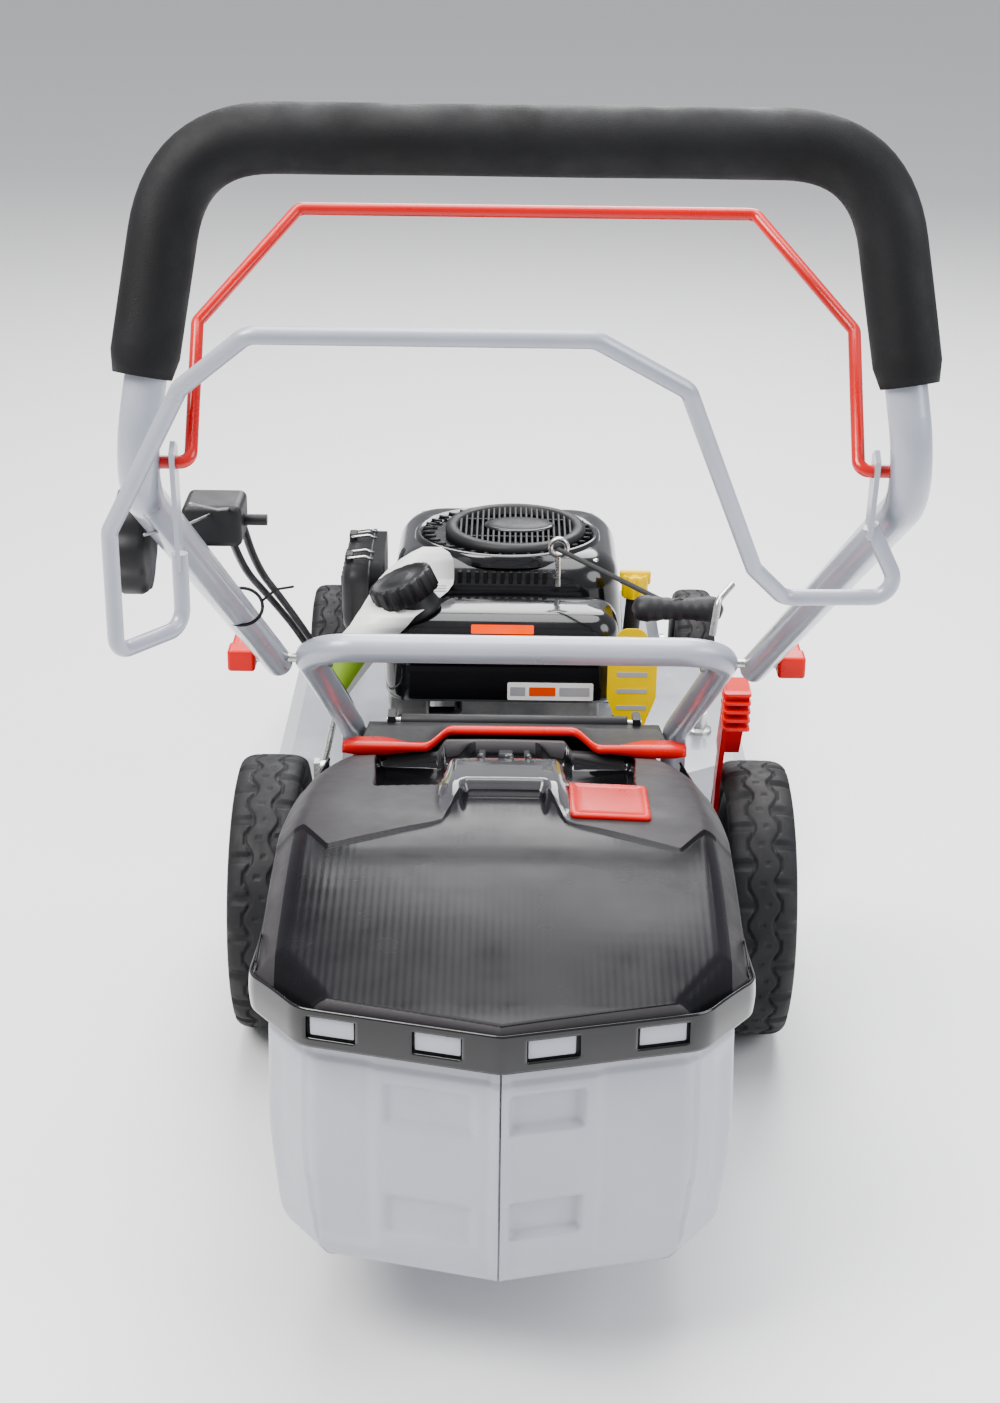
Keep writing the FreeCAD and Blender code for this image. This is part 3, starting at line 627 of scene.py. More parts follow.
def lid_height(x, y):
    """The lid's surface over a place, with its carrying hump and hand recess."""
    dx = abs(x - BAG_X)
    z = sum(along_marks(CREST, max(0, -y + step)) for step in (-28, -14, 0, 14, 28)) / 5
    z -= 7 * (dx / 190) ** 2 + 24 * smoothstep(0.86, 1.04, dx / max(lid_plan(y), 150)) ** 1.4
    z += 10 * (1 - smoothstep(56, 66, dx)) * (1 - falling(-70, -110, y))
    z += hump_rise(dx, y)
    floor = 321 + 5 * falling(-120, -200, y)
    return z + (min(z, floor) - z) * recess(dx, y)


def rear_edge(dx):
    """The pointed back edge, as a place y."""
    return LID_BACK + BACK_SLOPE * dx if dx < 152 else -573 + (dx - 152) * 53 / 40


def lid_kind(x, y, behind_zone_line):
    """Which of the lid's four looks a place has, as an index of lid_shell's materials."""
    dx = abs(x - BAG_X)
    at_side = dx > 0.93 * lid_plan(max(y, -520)) and y > -560
    if behind_zone_line and not at_side:
        return 1
    sunk, raised = recess(dx, y), hump_rise(dx, y) > 1.0
    if raised and sunk < 0.5:
        return 3
    return 2 if sunk > 0.02 or raised else 0


def lid_shell():
    """Top skin as a grid whose rows follow the front edge, the zone line and the pointed back edge."""
    columns, front_rows, back_rows = 221, 124, 66
    rows = []
    for r in range(front_rows + back_rows + 1):
        line = []
        for c in range(columns):
            across = -1 + 2 * c / (columns - 1)
            dx = abs(across) * BAG_HALF
            zone = along_marks(ZONE, dx)
            if r <= front_rows:
                y = LID_FRONT + (zone - LID_FRONT) * r / front_rows
            else:
                y = zone + (rear_edge(dx) - zone) * (r - front_rows) / back_rows
            x = BAG_X + across * BAG_HALF * lid_plan(max(y, -520)) / LID_HALF
            line.append((x, y, lid_height(x, y) - 1.6 * smoothstep(0, 2, r - front_rows)))
        rows.append(line)
    flat = [p for line in rows for p in line]
    points = [at(*p) for p in flat]
    faces, kinds = [], []
    for r in range(len(rows) - 1):
        for c in range(columns - 1):
            a = r * columns + c
            faces.append((a, a + 1, a + columns + 1, a + columns))
            kinds.append(lid_kind(*rows[r][c][:2], r >= front_rows))
    border = (list(range(columns)) + [r * columns + columns - 1 for r in range(1, len(rows))]
              + [(len(rows) - 1) * columns + c for c in range(columns - 2, -1, -1)]
              + [r * columns for r in range(len(rows) - 2, 0, -1)])
    upper = border
    for out, share in ((1.6, 0.72), (2.4, 0.35), (2.4, 0.0)):
        lower = []
        for index in border:
            x, y, z = flat[index]
            ahead = (y + 330) * 0.75
            reach = (math.hypot(x - BAG_X, ahead) or 1) if y <= -70 else math.inf
            lower.append(len(points))
            points.append(at(x + (x - BAG_X) / reach * out, y + ahead / reach * out, 313 + (z - 313) * share))
        for i in range(len(border)):
            j = (i + 1) % len(border)
            faces.append((upper[i], upper[j], lower[j], lower[i]))
            kinds.append(0)
        upper = lower
    mesh = bpy.data.meshes.new("lid")
    mesh.from_pydata([tuple(p) for p in points], [], faces)
    for look in (LOOKS["lid_plastic"], RIBBED, LOOKS["black_gloss"], SMOKE):
        mesh.materials.append(look)
    for polygon, kind in zip(mesh.polygons, kinds):
        polygon.material_index = kind
        polygon.use_smooth = True
    face_outwards(mesh)
    lid = thickened(add_object("bag_lid_skin", mesh), 0.0022, -1)
    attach(lid, "catcher")
    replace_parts(lid, "bag_lid")


def half_outline(inset, count):
    """Right half of the catcher seen from above, back middle to front middle, evenly spaced, with normals (mm)."""
    corners = [(0, LID_BACK), (152, -573), (BAG_HALF, -520), (BAG_HALF, -330), (185, -200), (160, LID_FRONT),
               (0, LID_FRONT)]
    path = smooth_path([Vector((x, y, 0)) for x, y in corners], 26, 8)
    lengths = [0.0]
    for first, last in zip(path, path[1:]):
        lengths.append(lengths[-1] + (last - first).length)
    result = []
    k = 0
    for i in range(count + 1):
        want = lengths[-1] * i / count
        while k < len(path) - 2 and lengths[k + 1] < want:
            k += 1
        t = (want - lengths[k]) / (lengths[k + 1] - lengths[k])
        along = (path[k + 1] - path[k]).normalized()
        normal = Vector((along.y, -along.x, 0))
        point = path[k].lerp(path[k + 1], t) - normal * inset
        point.x = 0.0 if i in (0, count) else max(0.0, point.x)
        result.append((point, normal))
    return result


def window(x, z, left, right, low, high, edge=3.0):
    """1 inside a rectangle, 0 outside, with a soft edge."""
    return (smoothstep(left - edge, left, x) * (1 - smoothstep(right, right + edge, x))
            * smoothstep(low - edge, low, z) * (1 - smoothstep(high, high + edge, z)))


def bin_relief(sign, x, y, z):
    """How far the bin's wall is pressed in, mm."""
    if y < -560 and sign > 0:
        return (7 * window(x, z, 10, 62, 253, 281) + 7 * window(x, z, 10, 62, 154, 184)
                + 2.5 * window(x, z, 82, 150, 130, 300, 10))
    if y < -560:
        return (3.5 * window(x, z, 24, 85, 250, 278, 6) + 3.5 * window(x, z, 24, 85, 146, 176, 6)
                + 2.5 * window(x, z, 104, 150, 130, 300, 10))
    if -540 < y < -90 and x > 150:
        rib = max(0.0, math.cos((y + 100) / 36 * math.pi))
        return 2.6 * rib * rib * smoothstep(140, 170, z) * (1 - smoothstep(270, 292, z))
    return 0.0


def bin_half(sign):
    """One light-grey half of the bin: bulged sides, rounded foot, pressed windows and a seam lip."""
    side = "right" if sign > 0 else "left"
    around, up = 300, 84
    rings = []
    for level in range(up + 1):
        t = level / up
        z = FOOT_Z + (WALL_TOP - FOOT_Z) * t
        foot = max(0.0, 1 - (z - FOOT_Z) / 34)
        inset = 7.5 + 24 * (1 - math.sqrt(max(0.0, 1 - foot * foot))) + 7 * (1 - t) - 4.5 * math.sin(math.pi * t) ** 2
        inset += 2.0 * smoothstep(292, 296, z)
        ring = []
        for point, normal in half_outline(inset, around):
            lip = 2.6 * (1 - smoothstep(5.5, 7.0, point.x)) * smoothstep(100, 112, z)
            spot = point - normal * (bin_relief(sign, point.x, point.y, z) - lip)
            ring.append(at(BAG_X + sign * max(0.35, spot.x), spot.y, z))
        rings.append(ring)
    piece = loft(f"bag_bin_{side}_wall", rings, "bin_plastic", "catcher")
    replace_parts(piece, f"bag_bin_{side}")


def rim_band():
    """The dark band under the lid's edge, with four windows at the back and a light tab in each."""
    around, up = 320, 16
    right = half_outline(-4.4, around)
    loop = [(Vector((-p.x, p.y, 0)), Vector((-n.x, n.y, 0))) for p, n in reversed(right)] + right[1:-1]
    count = len(loop)
    points, faces = [], []
    for level in range(up + 1):
        z = RIM_LOW + (RIM_HIGH - RIM_LOW) * level / up
        for point, normal in loop:
            spot = point + normal * (1.1 * math.sin(math.pi * level / up))
            drop = 17 * smoothstep(-560, -420, point.y) * level / up
            points.append(at(BAG_X + spot.x, spot.y, z - drop))
    for level in range(up):
        z = RIM_LOW + (RIM_HIGH - RIM_LOW) * (level + 0.5) / up
        for i in range(count):
            j = (i + 1) % count
            point = (loop[i][0] + loop[j][0]) / 2
            in_window = point.y < -560 and 321 < z < 340 and any(a < point.x < b for a, b in RIM_WINDOWS)
            if point.y <= -84 and not in_window:
                faces.append((level * count + i, level * count + j, (level + 1) * count + j, (level + 1) * count + i))
    used = sorted({i for face in faces for i in face})
    place = {old: new for new, old in enumerate(used)}
    band = mesh_piece("bag_rim_band", [points[i] for i in used], [tuple(place[i] for i in f) for f in faces],
                      "black_plastic", "catcher", LOOKS["black_gloss"])
    thickened(band, 0.0024, 0)
    for k, (left, far) in enumerate(RIM_WINDOWS):
        slope = math.copysign(BACK_SLOPE, left + far)
        plate(f"bag_rim_tab_{k}", rectangle(left + 2, far - 2, 323, 339, 1.5), 3,
              lambda u, v, w, s=slope: at(BAG_X + u, LID_BACK + s * u - 4.0 + w, v), "bin_plastic", "catcher",
              bevel=0.0006)


def lid_details():
    """Three vents on each side of the lid and three ribs in its hand recess."""
    for sign, side in ((-1, "left"), (1, "right")):
        for k in range(3):
            z = 334 + 7 * k
            outline = rounded_polygon([(-516, z), (-474, z + 2), (-474, z + 5), (-516, z + 3)], 1.4, 4)
            plate(f"lid_vent_{side}_{k}", outline, 2.0,
                  lambda u, v, w, s=sign: at(BAG_X + s * (191.6 + w * 0.5), u, v), "black_plastic", "catcher",
                  LOOKS["cable_black"], bevel=0.0003)
    for k, (left, right) in enumerate(((-25, -18), (-6, 8), (18, 24))):
        rings = [[at(BAG_X + u, y, v) for u, v in rectangle(left, right, z, z - 9, 2.2, 3)] for y, z in
                 ((-214, 394), (-196, 372), (-160, 350), (-118, 341), (-84, 339), (-78, 330))]
        loft(f"lid_recess_rib_{k}", rings, "black_gloss", "catcher", SMOKE)


def fill_indicator():
    """Red flap that lies on the lid and tips up as the bin fills."""
    low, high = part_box("fill_indicator")
    x0, x1 = low.x * 1000, high.x * 1000
    y0, y1 = (low.y - REAR_AXLE.y) * 1000, (high.y - REAR_AXLE.y) * 1000
    mid_x, mid_y = (x0 + x1) / 2, (y0 + y1) / 2
    rings = []
    for inset, rise in ((0, -1.5), (0, 0.0), (0, 1.4), (1.2, 2.4), (4, 2.8), (5, 2.0), (12, 1.8)):
        ring = []
        for u, v in rectangle(x0, x1, y0, y1, 6, 6):
            x = mid_x + (u - mid_x) * (1 - 2 * inset / (x1 - x0))
            y = mid_y + (v - mid_y) * (1 - 2 * inset / (y1 - y0))
            ring.append(at(x, y, lid_height(x, y) + 1.6 + rise))
        rings.append(ring)
    piece = loft("fill_indicator_flap", rings, "red_plastic", "fill_indicator")
    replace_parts(piece, "fill_indicator")


def catcher():
    lid_shell()
    lid_details()
    rim_band()
    for sign in (-1, 1):
        bin_half(sign)
    fill_indicator()


# ------------------------------------------------------------------ engine
UP = (0, 0, 1)
CAP_AXIS = (-0.407, 0, 0.914)    # the filler neck leans to the left


def soft_ring(x0, x1, y0, y1, z, radius, inset, steps=24):
    """A rounded rectangle, drawn in by inset, at one height."""
    outline = rectangle(x0 + inset, x1 - inset, y0 + inset, y1 - inset, max(4, radius - inset), steps)
    return [at(u, v, z) for u, v in outline]


def blower():
    """Glossy cover over the flywheel: near-upright walls, a rounded shoulder, a skirt, slots and screws."""
    x0, x1, y0, y1, z0, z1 = -141, 123, 247, 477, 264, 412
    shoulder, lean = 36, 8
    half = (y1 - y0) / 2
    levels = [(z0 + (z1 - shoulder - z0) * t, lean * t * t) for t in (k / 10 for k in range(11))]
    for k in range(1, 15):
        angle = math.pi / 2 * k / 14
        levels.append((z1 - shoulder + shoulder * math.sin(angle) - 1.5, lean + shoulder * (1 - math.cos(angle))))
    for t in (0.25, 0.5, 0.75, 0.96):
        levels.append((z1 - 1.5 * (1 - t), lean + shoulder + (half - shoulder - lean - 3) * t))
    cover = loft("blower_cover", [soft_ring(x0, x1, y0, y1, z, 66, inset) for z, inset in levels],
                 "black_gloss", "root")
    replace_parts(cover, "blower_housing")
    skirt = [soft_ring(x0 - 2, x1 + 2, y0 - 2, y1 + 2, z, 62, inset) for z, inset in
             ((264, 0), (288, 0), (290, 0.8), (290, 3.5), (264, 3.5))]
    loft("blower_skirt", skirt, "black_plastic", "root", caps=False)
    for k in range(14):
        x = -90 + 9.2 * k
        block(f"blower_rear_slot_{k}", (x, 256, 384), (x + 5, 268, 398), "black_plastic", "root", 0.0012,
              LOOKS["cable_black"])
    for x, y in ((-104, 284), (86, 284), (-104, 440), (86, 440)):
        turned(f"blower_screw_{x + 118}_{y}", [(0, 3.4), (4, 3.2), (5.4, 2.2), (6, 0), (6, -6), (0, -6)],
               at(x, y, 402), UP, "zinc", "root", segments=24)


def grille():
    """Round intake grille of parallel bars, with a blank oval badge."""
    place = middle("cooling_grille")
    x, y = place.x * 1000, (place.y - REAR_AXLE.y) * 1000
    base = at(x, y, 411)
    ring = [(60, 0), (78.5, 0), (78.5, 7), (76.5, 10), (72, 11.5), (67, 11), (64.5, 9), (64, 4), (60, 3.5), (60, 0)]
    pieces = [turned("ring", ring, base, UP, "black_plastic", "root", segments=96)]
    for offset in (k * 6.1 for k in range(-10, 11)):
        reach = math.sqrt(max(0, 65.5 ** 2 - offset ** 2))
        if reach > 8:
            pieces.append(block("bar", (x + offset - 1.5, y - reach, 413), (x + offset + 1.5, y + reach, 420.5),
                                "black_plastic", "root", 0.0010, segments=2))
    for offset in (-30, 30):
        reach = math.sqrt(65 ** 2 - offset ** 2)
        pieces.append(block("cross", (x - reach, y + offset - 1.6, 412.5), (x + reach, y + offset + 1.6, 418),
                            "black_plastic", "root", 0.001, segments=2))
    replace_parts(join("cooling_grille_bars", pieces), "cooling_grille")
    turned("cooling_grille_pan", [(0, -1.5), (61, -1.5), (61, 1.0), (0, 1.0)], base, UP, "black_plastic", "root",
           LOOKS["cable_black"])
    for name, a, b, rise, look in (("rim", 39, 25, 2.2, "black_gloss"), ("face", 36, 22, 3.0, "black_plastic")):
        rings = [[at(x + 4 + (a - inset) * math.cos(t), y + (b - inset) * math.sin(t), z) for t in turns(64)]
                 for inset, z in ((0, 416), (0, 419 + rise), (1.2, 420 + rise), (12, 421 + rise), (21, 421.2 + rise))]
        loft(f"cooling_grille_badge_{name}", rings, look, "root")


def intake_surround():
    """Oval ring of slots round the intake on top of the blower cover."""
    x, y = -9, 350
    rings = [[at(x + a * math.cos(t), y + b * math.sin(t), z) for t in turns(120)] for a, b, z in
             ((105, 91, 401), (103, 89, 412.5), (100, 86, 415), (97, 83, 412.5), (85, 79, 411.4), (84, 78, 410))]
    loft("blower_intake_surround", rings, "black_gloss", "root", caps=False)
    for k, angle in enumerate(turns(36, 0.5)):
        near, far = [at(x + a * math.cos(angle), y + b * math.sin(angle), z) for a, b, z in
                     ((82, 79.5, 413.2), (95, 83, 414))]
        tube(f"blower_intake_vane_{k}", [near, near.lerp(far, 0.5), far], 0.0016, "black_plastic", "root", 8)


def tank():
    """Glossy tank with a moulded waist seam, a filler neck and two blank labels."""
    low_wall = [(284, 12), (287, 5), (294, 1.5), (308, 0.4), (329, 0.4), (331, 0.4)]
    waist = [(331.5, -1.2), (337.5, -1.2), (338, 0.6), (350, 1.2), (358, 2.4)]
    shoulder = [(358 + 26 * math.sin(a), 2.4 + 24 * (1 - math.cos(a))) for a in
                (math.pi / 2 * k / 10 for k in range(1, 11))]
    rings = [soft_ring(-139, 113, 151, 241, z, 34, inset, 14) for z, inset in
             low_wall + waist + shoulder + [(385.4, 36)]]
    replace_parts(loft("fuel_tank_shell", rings, "black_gloss", "root"), "fuel_tank")
    neck = [(21, -34), (29, -33), (31, -30), (29, -26), (26, -14), (25.5, -8), (21, -8)]
    turned("fuel_tank_neck", neck, middle("fuel_cap"), CAP_AXIS, "black_plastic", "root", segments=48)

    def on_wall(u, v, w):
        return at(u, 150.6 - w, v)

    def on_shoulder(u, v, w):
        return at(u, 155 + 0.9 * v - 0.6 * w, 370.3 + 0.82 * v + 0.8 * w)

    plate("fuel_tank_label_white", rectangle(-7, 84, 292, 312, 2), 0.5, on_wall, "tag", "root", bevel=0.0001)
    for k, (left, right, look) in enumerate(((-4, 12, GREY_PRINT), (16, 44, ORANGE_PRINT), (48, 80, GREY_PRINT))):
        plate(f"fuel_tank_label_band_{k}", rectangle(left, right, 297, 307, 1, 3), 0.8, on_wall, "tag", "root", look,
              0.0001)
    plate("fuel_tank_label_orange", rectangle(-46, 20, -5, 4, 1.5), 0.9, on_shoulder, "tag", "root", ORANGE_PRINT,
          0.0001)


def toothed(name, node, axis, radius, height, teeth, slot, depth=2.6):
    """A screw cap with a scalloped rim and a stepped, domed top, in place of its node."""
    centre = middle(node)
    axis = Vector(axis).normalized()
    side, other = square_to(axis)
    top = height / 2
    levels = [(-top, 0.90, 0.6), (-top + 1.5, 1.0, 1), (top - 4, 0.985, 1), (top - 1.6, 0.955, 0.9),
              (top - 0.6, 0.90, 0.5), (top - 0.4, 0.80, 0), (top - 2.6, 0.77, 0), (top - 2.6, 0.42, 0),
              (top - 0.6, 0.36, 0), (top, 0.28, 0), (top + 0.2, 0.05, 0)]
    rings = []
    for along, scale, bite in levels:
        ring = []
        for angle in turns(teeth * 12):
            wave = max(0.0, math.cos(teeth * angle)) ** 0.7
            size = (radius * scale - depth * bite * wave) / 1000
            ring.append(centre + axis * (along / 1000) + (side * math.cos(angle) + other * math.sin(angle)) * size)
        rings.append(ring)
    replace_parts(loft(name, rings, slot, node), node)


def air_cleaner():
    """Ribbed cover on the engine's left side, held by two wire clips."""
    x0, x1, y0, y1, z0, z1 = -190, -146, 254, 402, 314, 402
    rings = [[at(x, u, v) for u, v in rectangle(y0 + inset, y1 - inset, z0 + inset, z1 - inset, 22, 8)]
             for x, inset in ((x1, 2), (x1 - 12, 2), (x1 - 12, 0), (x1 - 15, 0), (x1 - 15, 2), (x0 + 12, 3.5),
                              (x0 + 5, 6), (x0 + 1.5, 11), (x0, 20))]
    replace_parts(loft("air_cleaner_shell", rings, "black_plastic", "root"), "air_cleaner_cover")
    for k in range(7):
        y = 284 + 14.5 * k
        block(f"air_cleaner_rib_{k}", (x0 - 1.6, y - 2.2, 332), (x0 + 4, y + 2.2, 382), "black_plastic", "root", 0.001)
    for name, y in (("near", 292), ("far", 364)):
        corners = [(-156, -11, 402), (-166, -11, 405), (-184, -10, 402.5), (-184, 10, 402.5), (-166, 11, 405),
                   (-156, 11, 402)]
        path = smooth_path([at(x, y + v, z) for x, v, z in corners], 0.005, 5)
        tube(f"air_cleaner_clip_{name}", path, 0.0016, "zinc", "root", segments=10)
        block(f"air_cleaner_latch_{name}", (-187, y - 8, 395), (-178, y + 8, 405.5), "black_plastic", "root", 0.0018)


def engine():
    blower()
    grille()
    tank()
    toothed("fuel_cap_knob", "fuel_cap", CAP_AXIS, 36, 25, 16, "black_plastic")
    low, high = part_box("oil_cap")
    toothed("oil_cap_knob", "oil_cap", UP, 14.5, (high.z - low.z) * 1000 - 1, 8, "yellow_plastic", 1.6)
    block("oil_cap_wing", (113, 246.5, 388), (147, 253.5, 404), "yellow_plastic", "oil_cap", 0.003)
    air_cleaner()
    for x, y in ((-104, 300), (112, 300), (-104, 420), (112, 420)):
        turned(f"engine_bolt_{x + 104}_{y}", [(0, 7), (6, 7), (7.4, 6), (7.4, 1.6), (11, 1.5), (11, 0), (0, 0)],
               at(x, y, 180.2), UP, "zinc", "root", segments=6)


# ------------------------------------------------------------------ cables, cords and small hardware
STOP_CABLE = [(-204, -502, 713), (-204, -400, 634), (-196, -290, 566), (-183, -205, 501), (-172, -90, 417),
              (-163, 6, 349), (-156, 50, 300), (-140, 112, 262), (-124, 194, 250)]
DRIVE_CABLE = [(-216, -502, 711), (-214, -400, 632), (-208, -300, 575), (-194, -205, 508), (-181, -90, 420),
               (-174, 4, 352), (-172, 54, 296), (-160, 72, 236), (-160, 72, 182)]
BAIL_WIRES = {"stop_bail_wire": [(-214, -668, 772), (-206, -600, 746), (-204, -524, 722)],
              "drive_bail_wire": [(-232, -742, 776), (-222, -640, 748), (-216, -524, 720)]}
WIDEST = 9.0             # metres: a bend that takes as much of its sides as it may


def bowden(name, points, node):
    """A sheathed control cable that bends where the handle folds, with a ferrule at each end."""
    path = close_points(smooth_path([at(*p) for p in points], WIDEST, 12))
    piece = tube(name, path, 0.003, "cable_black", "root", segments=14)
    piece.parent = None
    del piece["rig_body"]
    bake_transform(piece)
    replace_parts(piece, node)
    for end, body, tip, inside in (("upper", "handle", path[0], path[3]), ("lower", "root", path[-1], path[-4])):
        inward = (inside - tip).normalized()
        sleeve = [tip + inward * (0.001 * k) for k in (-2, -1, 20, 22)]
        tube(f"{name}_ferrule_{end}", sleeve, (0.0036, 0.0043, 0.0043, 0.0036), "zinc", body, 16)


def wires_and_ties():
    """Thin pull wires from the bails, and a cable tie with its tail round the handle tube."""
    for name, points in BAIL_WIRES.items():
        tube(name, close_points([at(*p) for p in points], 0.01), 0.0011, "steel", "handle", 8)
    low, high = at(-211, -250, 508), at(-232, -775, 820)
    centre = low.lerp(high, 0.32) + Vector((0.003, 0, 0))
    side = Vector((1, 0, 0))
    up = (high - low).normalized().cross(side)
    loop = [centre + side * (0.0165 * math.cos(a)) + up * (0.0146 * math.sin(a)) for a in turns(40) + [2 * math.pi]]
    tube("cable_tie_upper", loop, 0.0013, "cable_black", "handle", 8)
    tail = [loop[2] + Vector(step) for step in ((0, 0, 0), (0.012, -0.006, 0.012), (0.026, -0.010, 0.016))]
    tube("cable_tie_tail_upper", smooth_path(tail, 0.008, 6), 0.0010, "cable_black", "handle", 8)


def starter():
    """Braided rope from the engine's eyelet up to a moulded T-grip parked on the handle."""
    rope_path = close_points([at(46, 229, 434), at(88, 64, 468), at(140, -144, 511)], 0.004)
    rope = tube("starter_rope_braid", rope_path, 0.0026, "rope", "root", segments=12)
    rope.parent = None
    del rope["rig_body"]
    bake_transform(rope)
    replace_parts(rope, "starter_rope")
    low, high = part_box("starter_grip")
    centre = middle("starter_grip")
    half = (high.x - low.x) / 2
    rings = []
    for t in (-1 + 2 * k / 32 for k in range(33)):
        waves = 0.03 * math.cos(9 * math.pi * t) if abs(t) < 0.78 else 0
        size = 0.0122 * (1 - 0.16 * math.cos(math.pi * t) + waves) * math.sqrt(max(0.02, 1 - abs(t) ** 7))
        rings.append([centre + Vector((t * half, 0, 0)) + Vector((0, math.cos(a), math.sin(a) * 0.92)) * size
                      for a in turns(32)])
    grip = loft("starter_grip_bar", rings, "black_plastic", "starter_grip")
    stem = [(0, -22), (4.2, -22), (5.4, -19), (6.6, -8), (9.5, -2), (10, 4), (0, 4)]
    turned("starter_grip_stem", stem, centre, rope_path[-1] - rope_path[-8], "black_plastic", "starter_grip",
           segments=32)
    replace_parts(grip, "starter_grip")


def card_strip(name, stations, thickness, material=None, lift=0.0):
    """A bent card: stations give (left x, right x, y, z) from the bottom end to the top end, in mm."""
    path = [Vector(((left + right) / 2, y, z)) for left, right, y, z in stations]
    points, faces = [], []
    for i, (left, right, y, z) in enumerate(stations):
        ahead = path[min(i + 1, len(path) - 1)] - path[max(i - 1, 0)]
        normal = Vector((0, -ahead.z, ahead.y)).normalized()
        for side in (lift, lift + thickness):
            for x in (left, right):
                points.append(at(x, y + normal.y * side, z + normal.z * side))
    for a in range(0, len(points) - 4, 4):
        b = a + 4
        faces += [(a, a + 1, b + 1, b), (a + 2, b + 2, b + 3, a + 3), (a, b, b + 2, a + 2), (a + 1, a + 3, b + 3, b + 1)]
    last = len(points) - 4
    faces += [(0, 2, 3, 1), (last, last + 1, last + 3, last + 2)]
    return mesh_piece(name, points, faces, "tag", "root", material)


def hang_tags():
    """White card hooked round the filler neck under the cap, and a yellow card on the dipstick tube."""
    marks = [(-192, -184, 141, 290), (-197, -176, 141, 298), (-196, -162, 141, 318), (-193, -146, 141, 340),
             (-186, -128, 141, 362), (-172, -112, 142, 378), (-166, -104, 147, 386.5), (-162, -96, 158, 389),
             (-158, -84, 185, 389.4), (-153, -72, 215, 389.6), (-150, -67, 236, 390), (-147, -66, 242, 394),
             (-138, -66, 243, 404), (-124, -67, 243.2, 416), (-112, -71, 243.4, 424), (-100, -80, 243.6, 430)]
    stations = []
    for first, last in zip(marks, marks[1:]):
        stations += [tuple(a + (b - a) * k / 4 for a, b in zip(first, last)) for k in range(4)]
    stations.append(marks[-1])
    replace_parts(card_strip("hang_tag_white", stations, 0.8), "tags")
    green = [(left + 3, left + 3 + (right - left - 6) * 0.86, y, z) for left, right, y, z in stations
             if 296 < z < 352 and y < 142]
    card_strip("hang_tag_green_field", green, 0.3, GREEN_PRINT, lift=0.9)
    for k in range(3):
        left, y = -100 + 3 * k, 212 + 8 * k
        card_strip(f"hang_tag_bar_{k}", [(left, -74, y, 389.9), (left, -74, y + 3, 389.9)], 0.3, GREY_PRINT, lift=0.6)
    yellow = [(112, 262), (136, 262), (150, 300), (150, 350), (134, 378), (110, 378), (98, 350), (98, 300)]
    plate("hang_tag_yellow", rounded_polygon(yellow, 14, 6), 1.2, lambda u, v, w: at(u, 142.6 - w, v),
          "yellow_plastic", "root", bevel=0.0003)
    for k in range(4):
        v = 286 + 19 * k
        plate(f"hang_tag_yellow_bar_{k}", rectangle(108, 140, v, v + 5, 1, 3), 0.5,
              lambda u, v, w: at(u, 141.5 - w, v), "tag", "root", GREY_PRINT, 0.0001)


def flap_edge(x):
    """The flap's rear edge (y, z), raised and set forward in the middle."""
    middle_part = 1 - smoothstep(58, 84, abs(x + 2))
    return -90 + 38 * middle_part, 345 + 1.5 * middle_part


def rear_flap():
    """Spring flap over the catcher's front: a dark plate, a red lip and the hinge barrel."""
    board, lip = [], []
    for x in (-164 + 4 * k for k in range(83)):
        y, z = flap_edge(x)
        start_y, start_z = (-66, 338) if abs(x) > 146 else (6, 328)
        top = [(start_y + (y - start_y) * t, start_z + (z - start_z) * t ** 1.4) for t in
               (0, 0.15, 0.3, 0.45, 0.6, 0.75, 0.9, 1.0)]
        board.append([at(x, v, w) for v, w in top + [(v, w - 2.6) for v, w in reversed(top)]])
        wing = smoothstep(90, 130, abs(x)) * (1 - 0.5 * smoothstep(150, 164, abs(x)))
        depth, drop = 4 + 15 * wing, 5 + 4 * wing
        section = [(depth, 0.6), (2, 2.6), (-3, 2.4), (-5, -0.5), (-5, 1 - drop), (-3, -drop), (-1.5, -3.6),
                   (depth, -1.5)]
        lip.append([at(x, y + v, z + w) for v, w in section])
    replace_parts(loft("rear_flap_board", board, "black_plastic", "rear_flap"), "rear_flap")
    loft("rear_flap_lip", lip, "red_plastic", "rear_flap")
    barrel = [(0, -113), (6.6, -113), (7, -112), (7, 112), (6.6, 113), (0, 113)]
    turned("rear_flap_barrel", barrel, at(0, 14, 326), (1, 0, 0), "black_plastic", "rear_flap", segments=32)


def lever_grip():
    """Five finger ribs round the top of the red height lever."""
    low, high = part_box("height_lever")
    tall = [v.co for v in frame["nodes"]["height_lever"].data.vertices if v.co.z > high.z - 0.045]
    x0, x1 = min(c.x for c in tall) - 0.002, max(c.x for c in tall) + 0.002
    y0, y1 = min(c.y for c in tall) - 0.002, max(c.y for c in tall) + 0.002
    ring = rectangle(x0, x1, y0, y1, 0.004)
    for k in range(5):
        z = high.z - 0.010 - 0.009 * k
        rings = [[Vector((u, v, z + dz)) for u, v in ring] for dz in (-0.0018, 0.0018)]
        rounded(loft(f"height_lever_rib_{k}", rings, "red_plastic", "rear_crank"), 0.0009, 2)


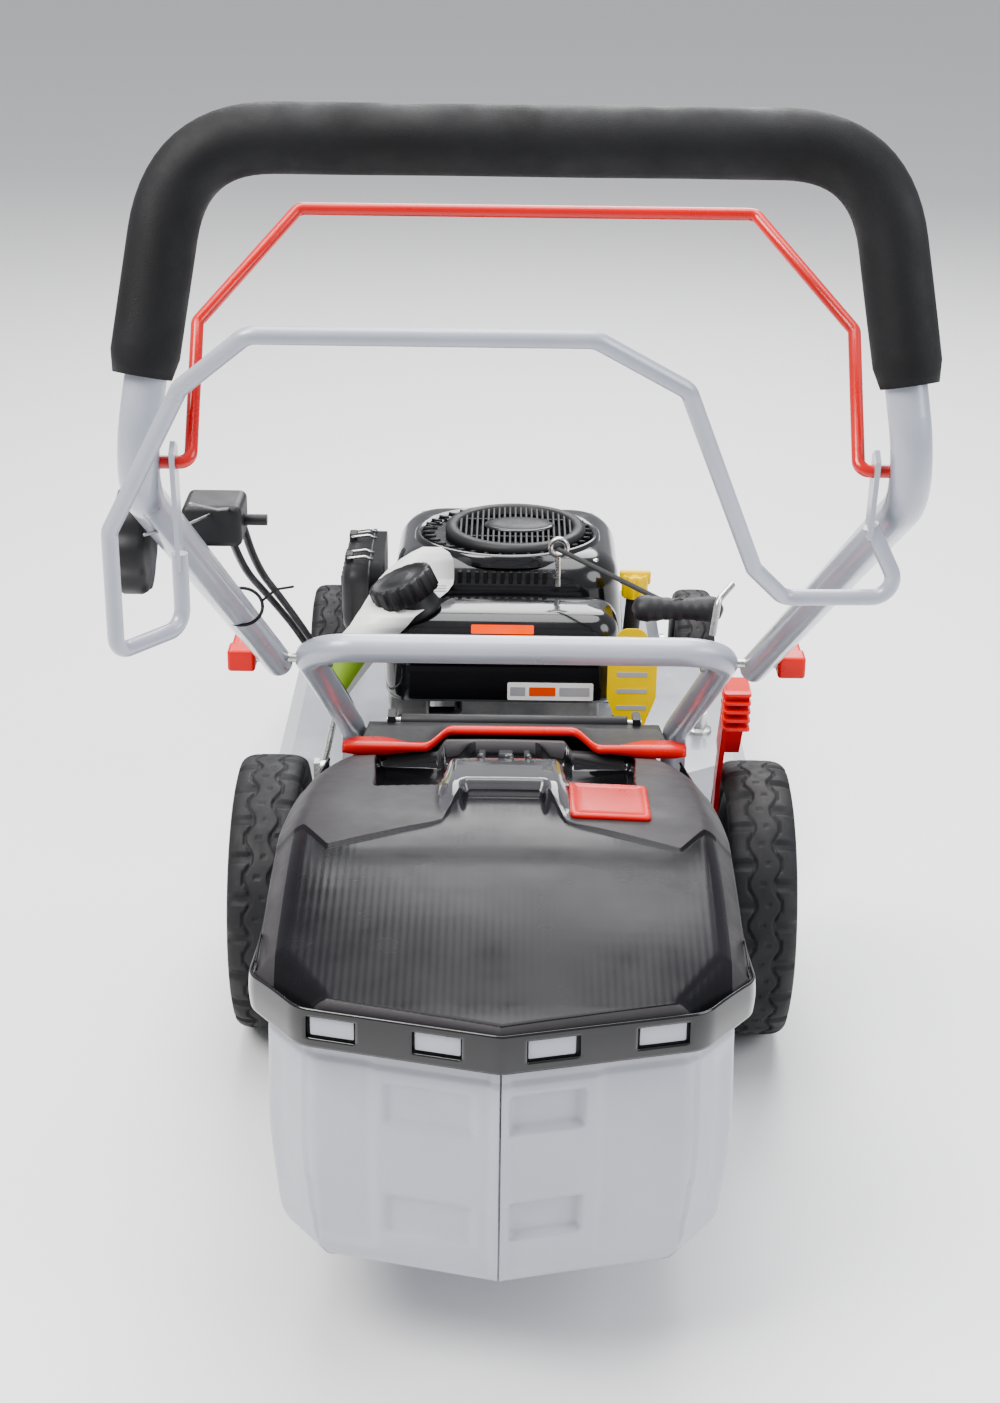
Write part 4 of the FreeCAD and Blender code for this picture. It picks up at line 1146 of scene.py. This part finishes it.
def hub_housing():
    """Dark scalloped housing at the handle's left side, round and lobed like a hand wheel."""
    low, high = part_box("control_housing")
    centre = middle("control_housing")
    half_x, size = (high.x - low.x) / 2, min(high.y - low.y, high.z - low.z) / 2
    rings = []
    for along, scale in ((-1.0, 0.80), (-0.9, 0.95), (-0.6, 1.0), (0.5, 1.0), (0.85, 0.94), (1.0, 0.80), (1.02, 0.55),
                         (0.8, 0.50), (0.8, 0.05)):
        ring = []
        for angle in turns(168):
            reach = size * scale * (1 - 0.075 * (0.5 + 0.5 * math.cos(7 * angle)) ** 2)
            ring.append(centre + Vector((-along * half_x, math.cos(angle) * reach, math.sin(angle) * reach)))
        rings.append(ring)
    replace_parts(loft("control_housing_shell", rings, "black_plastic", "handle"), "control_housing")


# ------------------------------------------------------------------ finish of the CAD pieces that stay shown
def dress(names, width):
    """Round the edges of the CAD pieces that no mesh above has replaced."""
    for name in names:
        shown = frame["nodes"][name]
        if not shown.hide_render:
            shown.data.set_sharp_from_angle(angle=math.radians(32))
            add_bevel(shown, width, 2, 38)


# ------------------------------------------------------------------ floor, light and camera
LAMPS = (    # name, place, size (m), power (W), tint
    ("key", (-1.6, -1.4, 2.9), 1.8, 95, (1, 0.98, 0.95)),
    ("fill", (2.4, -1.2, 2.0), 2.0, 40, (0.94, 0.97, 1)),
    ("back", (0.3, 2.6, 2.6), 2.4, 85, (1, 1, 1)),
    ("top", (0.0, 0.2, 3.4), 2.6, 80, (1, 1, 1)),
)
FLOOR_HALF = 40.0
EYE = Vector((-0.0104, -2.0275, 1.2222))
YAW, PITCH, ROLL = math.radians(-0.11), math.radians(22.97), math.radians(0.71)


def studio():
    """Pale floor, soft even surroundings and four large lamps."""
    mesh = bpy.data.meshes.new("floor")
    mesh.from_pydata([(x * FLOOR_HALF, y * FLOOR_HALF, 0) for x, y in ((-1, -1), (1, -1), (1, 1), (-1, 1))], [],
                     [(0, 1, 2, 3)])
    pale = Shader("pale_floor", (0.86, 0.86, 0.86), 0.55)
    pale.bump(pale.noise(40, 3), 0.02, 0.0004)
    mesh.materials.append(pale.material)
    add_object("floor", mesh)
    world = bpy.data.worlds.new("studio")
    bpy.context.scene.world = world
    bpy.context.scene.view_settings.look = "AgX - Medium High Contrast"
    world.use_nodes = True
    background = next(n for n in world.node_tree.nodes if n.type == "BACKGROUND")
    background.inputs["Color"].default_value = (0.95, 0.96, 1.0, 1)
    background.inputs["Strength"].default_value = 0.50
    for name, place, size, power, tint in LAMPS:
        data = bpy.data.lights.new(name, "AREA")
        data.shape = "DISK"
        data.size = size
        data.energy = power
        data.color = tint
        lamp = add_object(name, data)
        lamp.location = place
        lamp.rotation_euler = (Vector((0, 0.1, 0.4)) - lamp.location).to_track_quat("-Z", "Y").to_euler()


def camera():
    """The camera behind and above the handle, looking forward and down."""
    data = bpy.data.cameras.new("camera")
    data.lens = 57.73
    data.sensor_width = 36
    ahead = Vector((math.sin(YAW) * math.cos(PITCH), math.cos(YAW) * math.cos(PITCH), -math.sin(PITCH)))
    level = ahead.cross(Vector(UP)).normalized()
    upright = level.cross(ahead)
    right = level * math.cos(ROLL) + upright * math.sin(ROLL)
    up = -level * math.sin(ROLL) + upright * math.cos(ROLL)
    shot = add_object("camera", data)
    shot.matrix_world = Matrix.Translation(EYE) @ Matrix((right, up, -ahead)).transposed().to_4x4()
    bpy.context.scene.camera = shot


wheels()
foam_grip()
catcher()
engine()
bowden("stop_cable_sheath", STOP_CABLE, "stop_cable")
bowden("drive_cable_sheath", DRIVE_CABLE, "drive_cable")
wires_and_ties()
starter()
hang_tags()
rear_flap()
lever_grip()
hub_housing()
intake_surround()
dress([n for n in frame["nodes"] if n != "deck_shell"], 0.0007)
dress(["deck_shell"], 0.0005)
studio()
camera()
